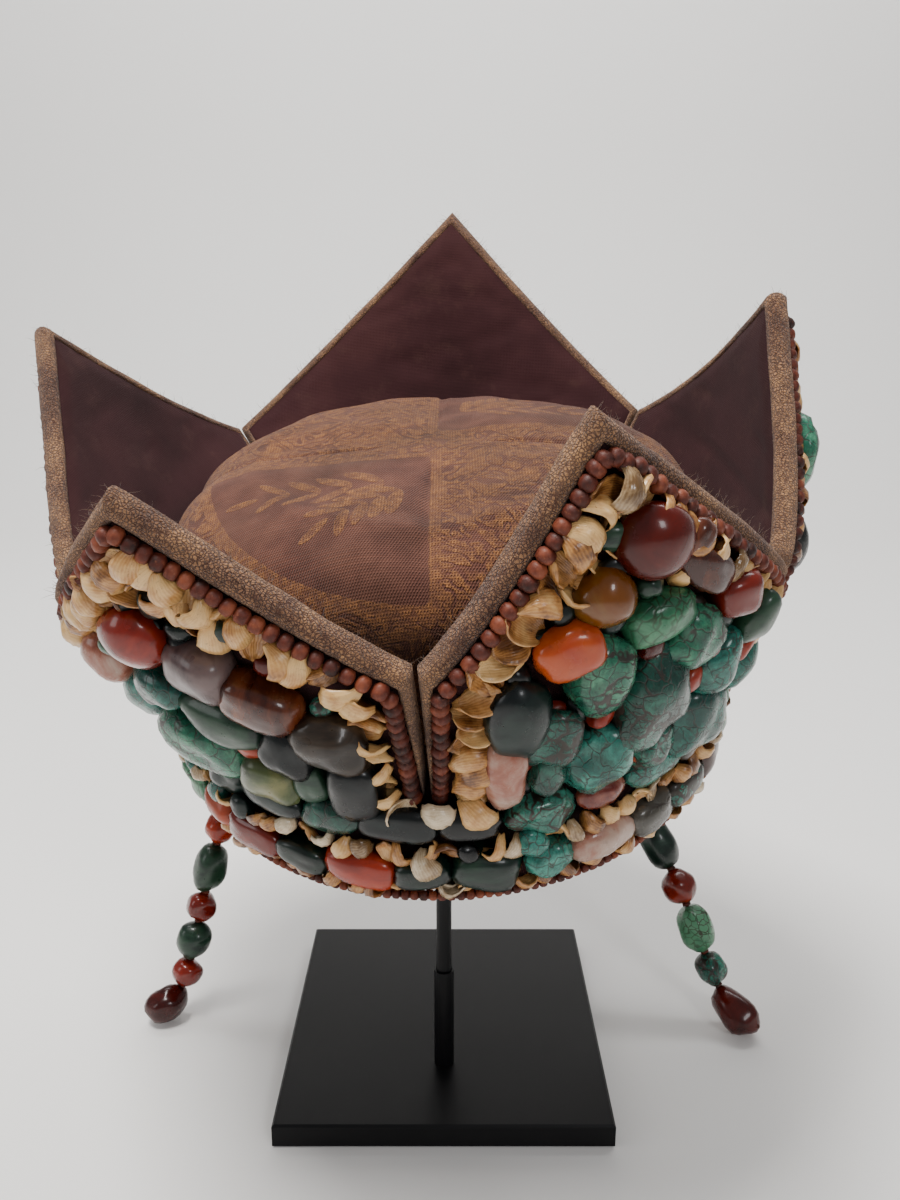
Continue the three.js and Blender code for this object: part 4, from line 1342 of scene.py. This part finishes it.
def rim_seeds(rng):
    piece = Piece("seed_beads_rim")
    radius = BAND_RADIUS + 3.6
    count = round(2 * math.pi * radius / (RIM_BEAD * 0.88))
    for row, (shift, height) in enumerate(((0, 1.0), (-2.6, -0.8))):
        for i in range(count):
            turn = 360 * (i + 0.5 * row) / count
            centre = polar(turn, radius + shift, height)
            add_seed(piece, centre, polar(turn + 90, 1, 0), RIM_BEAD, rng)
    piece.build()


# Strings of beads

def smooth_route(points, count):
    """A smooth curve through the points, at even steps."""
    dense = []
    for i in range(len(points) - 1):
        a, b = points[i], points[i + 1]
        before = points[i - 1] if i else a * 2 - b
        after = points[i + 2] if i + 2 < len(points) else b * 2 - a
        dense += [curve_point(before, a, b, after, k / 24) for k in range(24)]
    dense.append(points[-1])
    lengths = distances(dense)
    total = lengths[-1]

    def at(distance):
        for i in range(1, len(lengths)):
            if lengths[i] >= distance:
                share = (distance - lengths[i - 1]) / max(1e-6, lengths[i] - lengths[i - 1])
                return dense[i - 1].lerp(dense[i], share)
        return dense[-1]

    return [at(total * k / (count - 1)) for k in range(count)], total, at


def bead_string(side, rng):
    piece = Piece("bead_string_" + side + "_beads", WORLD)
    start = CROWN @ polar(STRING_TURNS[side], HEAD_RADIUS + BAND_WALL / 2, -2 * GAP)
    route = [start] + [Vector(p) for p in STRING_ROUTES[side]]
    points, total, at = smooth_route(route, STRING_STEPS)
    rings = []
    for i, p in enumerate(points):
        run = run_at(points, i)
        a = run.orthogonal().normalized()
        b = run.cross(a)
        rings.append([p + turned(a, b, k * 1.047) * THREAD / 2 for k in range(6)])
    tube(piece, rings, "thread")
    stretch = (total - BEAD_GAP * len(STRING_BEADS)) / sum(STRING_BEADS)
    sizes = [share * stretch for share in STRING_BEADS]
    travelled = BEAD_GAP / 2
    for size, kind in zip(sizes, STRING_KINDS[side]):
        centre = at(travelled + size / 2)
        run = (at(travelled + size) - at(travelled)).normalized()
        beside = run.orthogonal().normalized()
        wide = BEAD * (0.98 if size > BEAD else 0.85)
        add_stone(piece, centre, run, beside, run.cross(beside), size, wide, wide, "oval", kind, rng)
        if travelled > BEAD_GAP:
            add_seed(piece, at(travelled - BEAD_GAP * 0.5), run, 3.6, rng, 0.5)
        travelled += size + BEAD_GAP
    for k in range(3):
        add_seed(piece, at(total - 1.5 - k * 1.2), beside, 2.6, rng)
    piece.build("bead_string_" + side)


# Stand, floor, light and camera

def dress_stand():
    for node in ("stand_base", "stand_sleeve", "stand_post"):
        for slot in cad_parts[node].material_slots:
            slot.material = material("black_metal")


def stage_material(name, colour, rough):
    n = Nodes(name)
    tint = n.mix(n.times(n.noise(3, 4), 0.15), colour, srgb(255, 255, 255))
    return n.finish(tint, rough, depth=1)


def stage():
    """Pale floor that curves up into a pale wall."""
    wide, near, far, high, bend = 6000, -3000, 1800, 4000, 700
    route = [(near, 0)]
    for angle in range(0, 91, 6):
        route.append((far - bend + bend * math.sin(rad(angle)), bend - bend * math.cos(rad(angle))))
    route.append((far, high))
    points = [Vector((x, y, z)) for y, z in route for x in (-wide / 2, wide / 2)]
    mesh = bpy.data.meshes.new("floor_and_wall")
    mesh.from_pydata([p * MM for p in points], [], strip_faces(len(route), 2))
    mesh.polygons.foreach_set("use_smooth", [True] * len(mesh.polygons))
    mesh.materials.append(stage_material("pale_floor", srgb(238, 236, 233), 0.7))
    obj = add_object("floor_and_wall", mesh)


def area_light(name, place, aim, size, power, colour=(1, 1, 1)):
    data = bpy.data.lights.new(name, "AREA")
    data.shape = "RECTANGLE"
    data.size, data.size_y = size
    data.energy = power
    data.color = colour
    obj = add_object(name, data)
    obj.location = place
    obj.rotation_euler = (Vector(aim) - Vector(place)).to_track_quat("-Z", "Y").to_euler()


def lights():
    world = bpy.data.worlds.new("soft_room")
    bpy.context.scene.world = world
    world.use_nodes = True
    background = world.node_tree.nodes["Background"]
    background.inputs["Color"].default_value = (0.86, 0.86, 0.87, 1)
    background.inputs["Strength"].default_value = 0.4
    area_light("overhead", (-0.25, -0.2, 1.4), (0, 0, 0.15), (0.4, 0.4), 25, (1, 0.985, 0.96))
    area_light("front_window", (0.7, -1.4, 1.1), (0, 0, 0.18), (0.35, 0.4), 6, (0.97, 0.98, 1))
    area_light("left_fill", (-1.4, -0.5, 0.7), (0, 0, 0.2), (0.5, 0.7), 3)
    area_light("wall_wash", (0, 0.7, 1.9), (0, 1.8, 0.5), (2.6, 0.5), 34)


def camera():
    """The photo's view: 14.5 degrees down, from 37 cm in front of the stand."""
    pitch_down, distance, height, aside = 14.5, 0.3745, 0.2946, 0.0024
    focal_pixels, photo_height, sensor = 985, 1200, 36
    data = bpy.data.cameras.new("photo_view")
    data.sensor_width = sensor
    data.lens = focal_pixels / photo_height * sensor
    obj = add_object("photo_view", data)
    obj.location = (aside, -distance, height)
    obj.rotation_euler = (rad(90 - pitch_down), 0, 0)
    bpy.context.scene.camera = obj


def main():
    rng = random.Random(7)
    dress_stand()
    cap()
    brow_band()
    band_field(rng)
    rim_seeds(rng)
    for index in range(len(LOBES)):
        lobe = Lobe(index)
        lobe_body(lobe)
        binding(lobe, rng)
        lobe_field(lobe, rng)
    for side in STRING_TURNS:
        bead_string(side, rng)
    stage()
    lights()
    camera()


main()
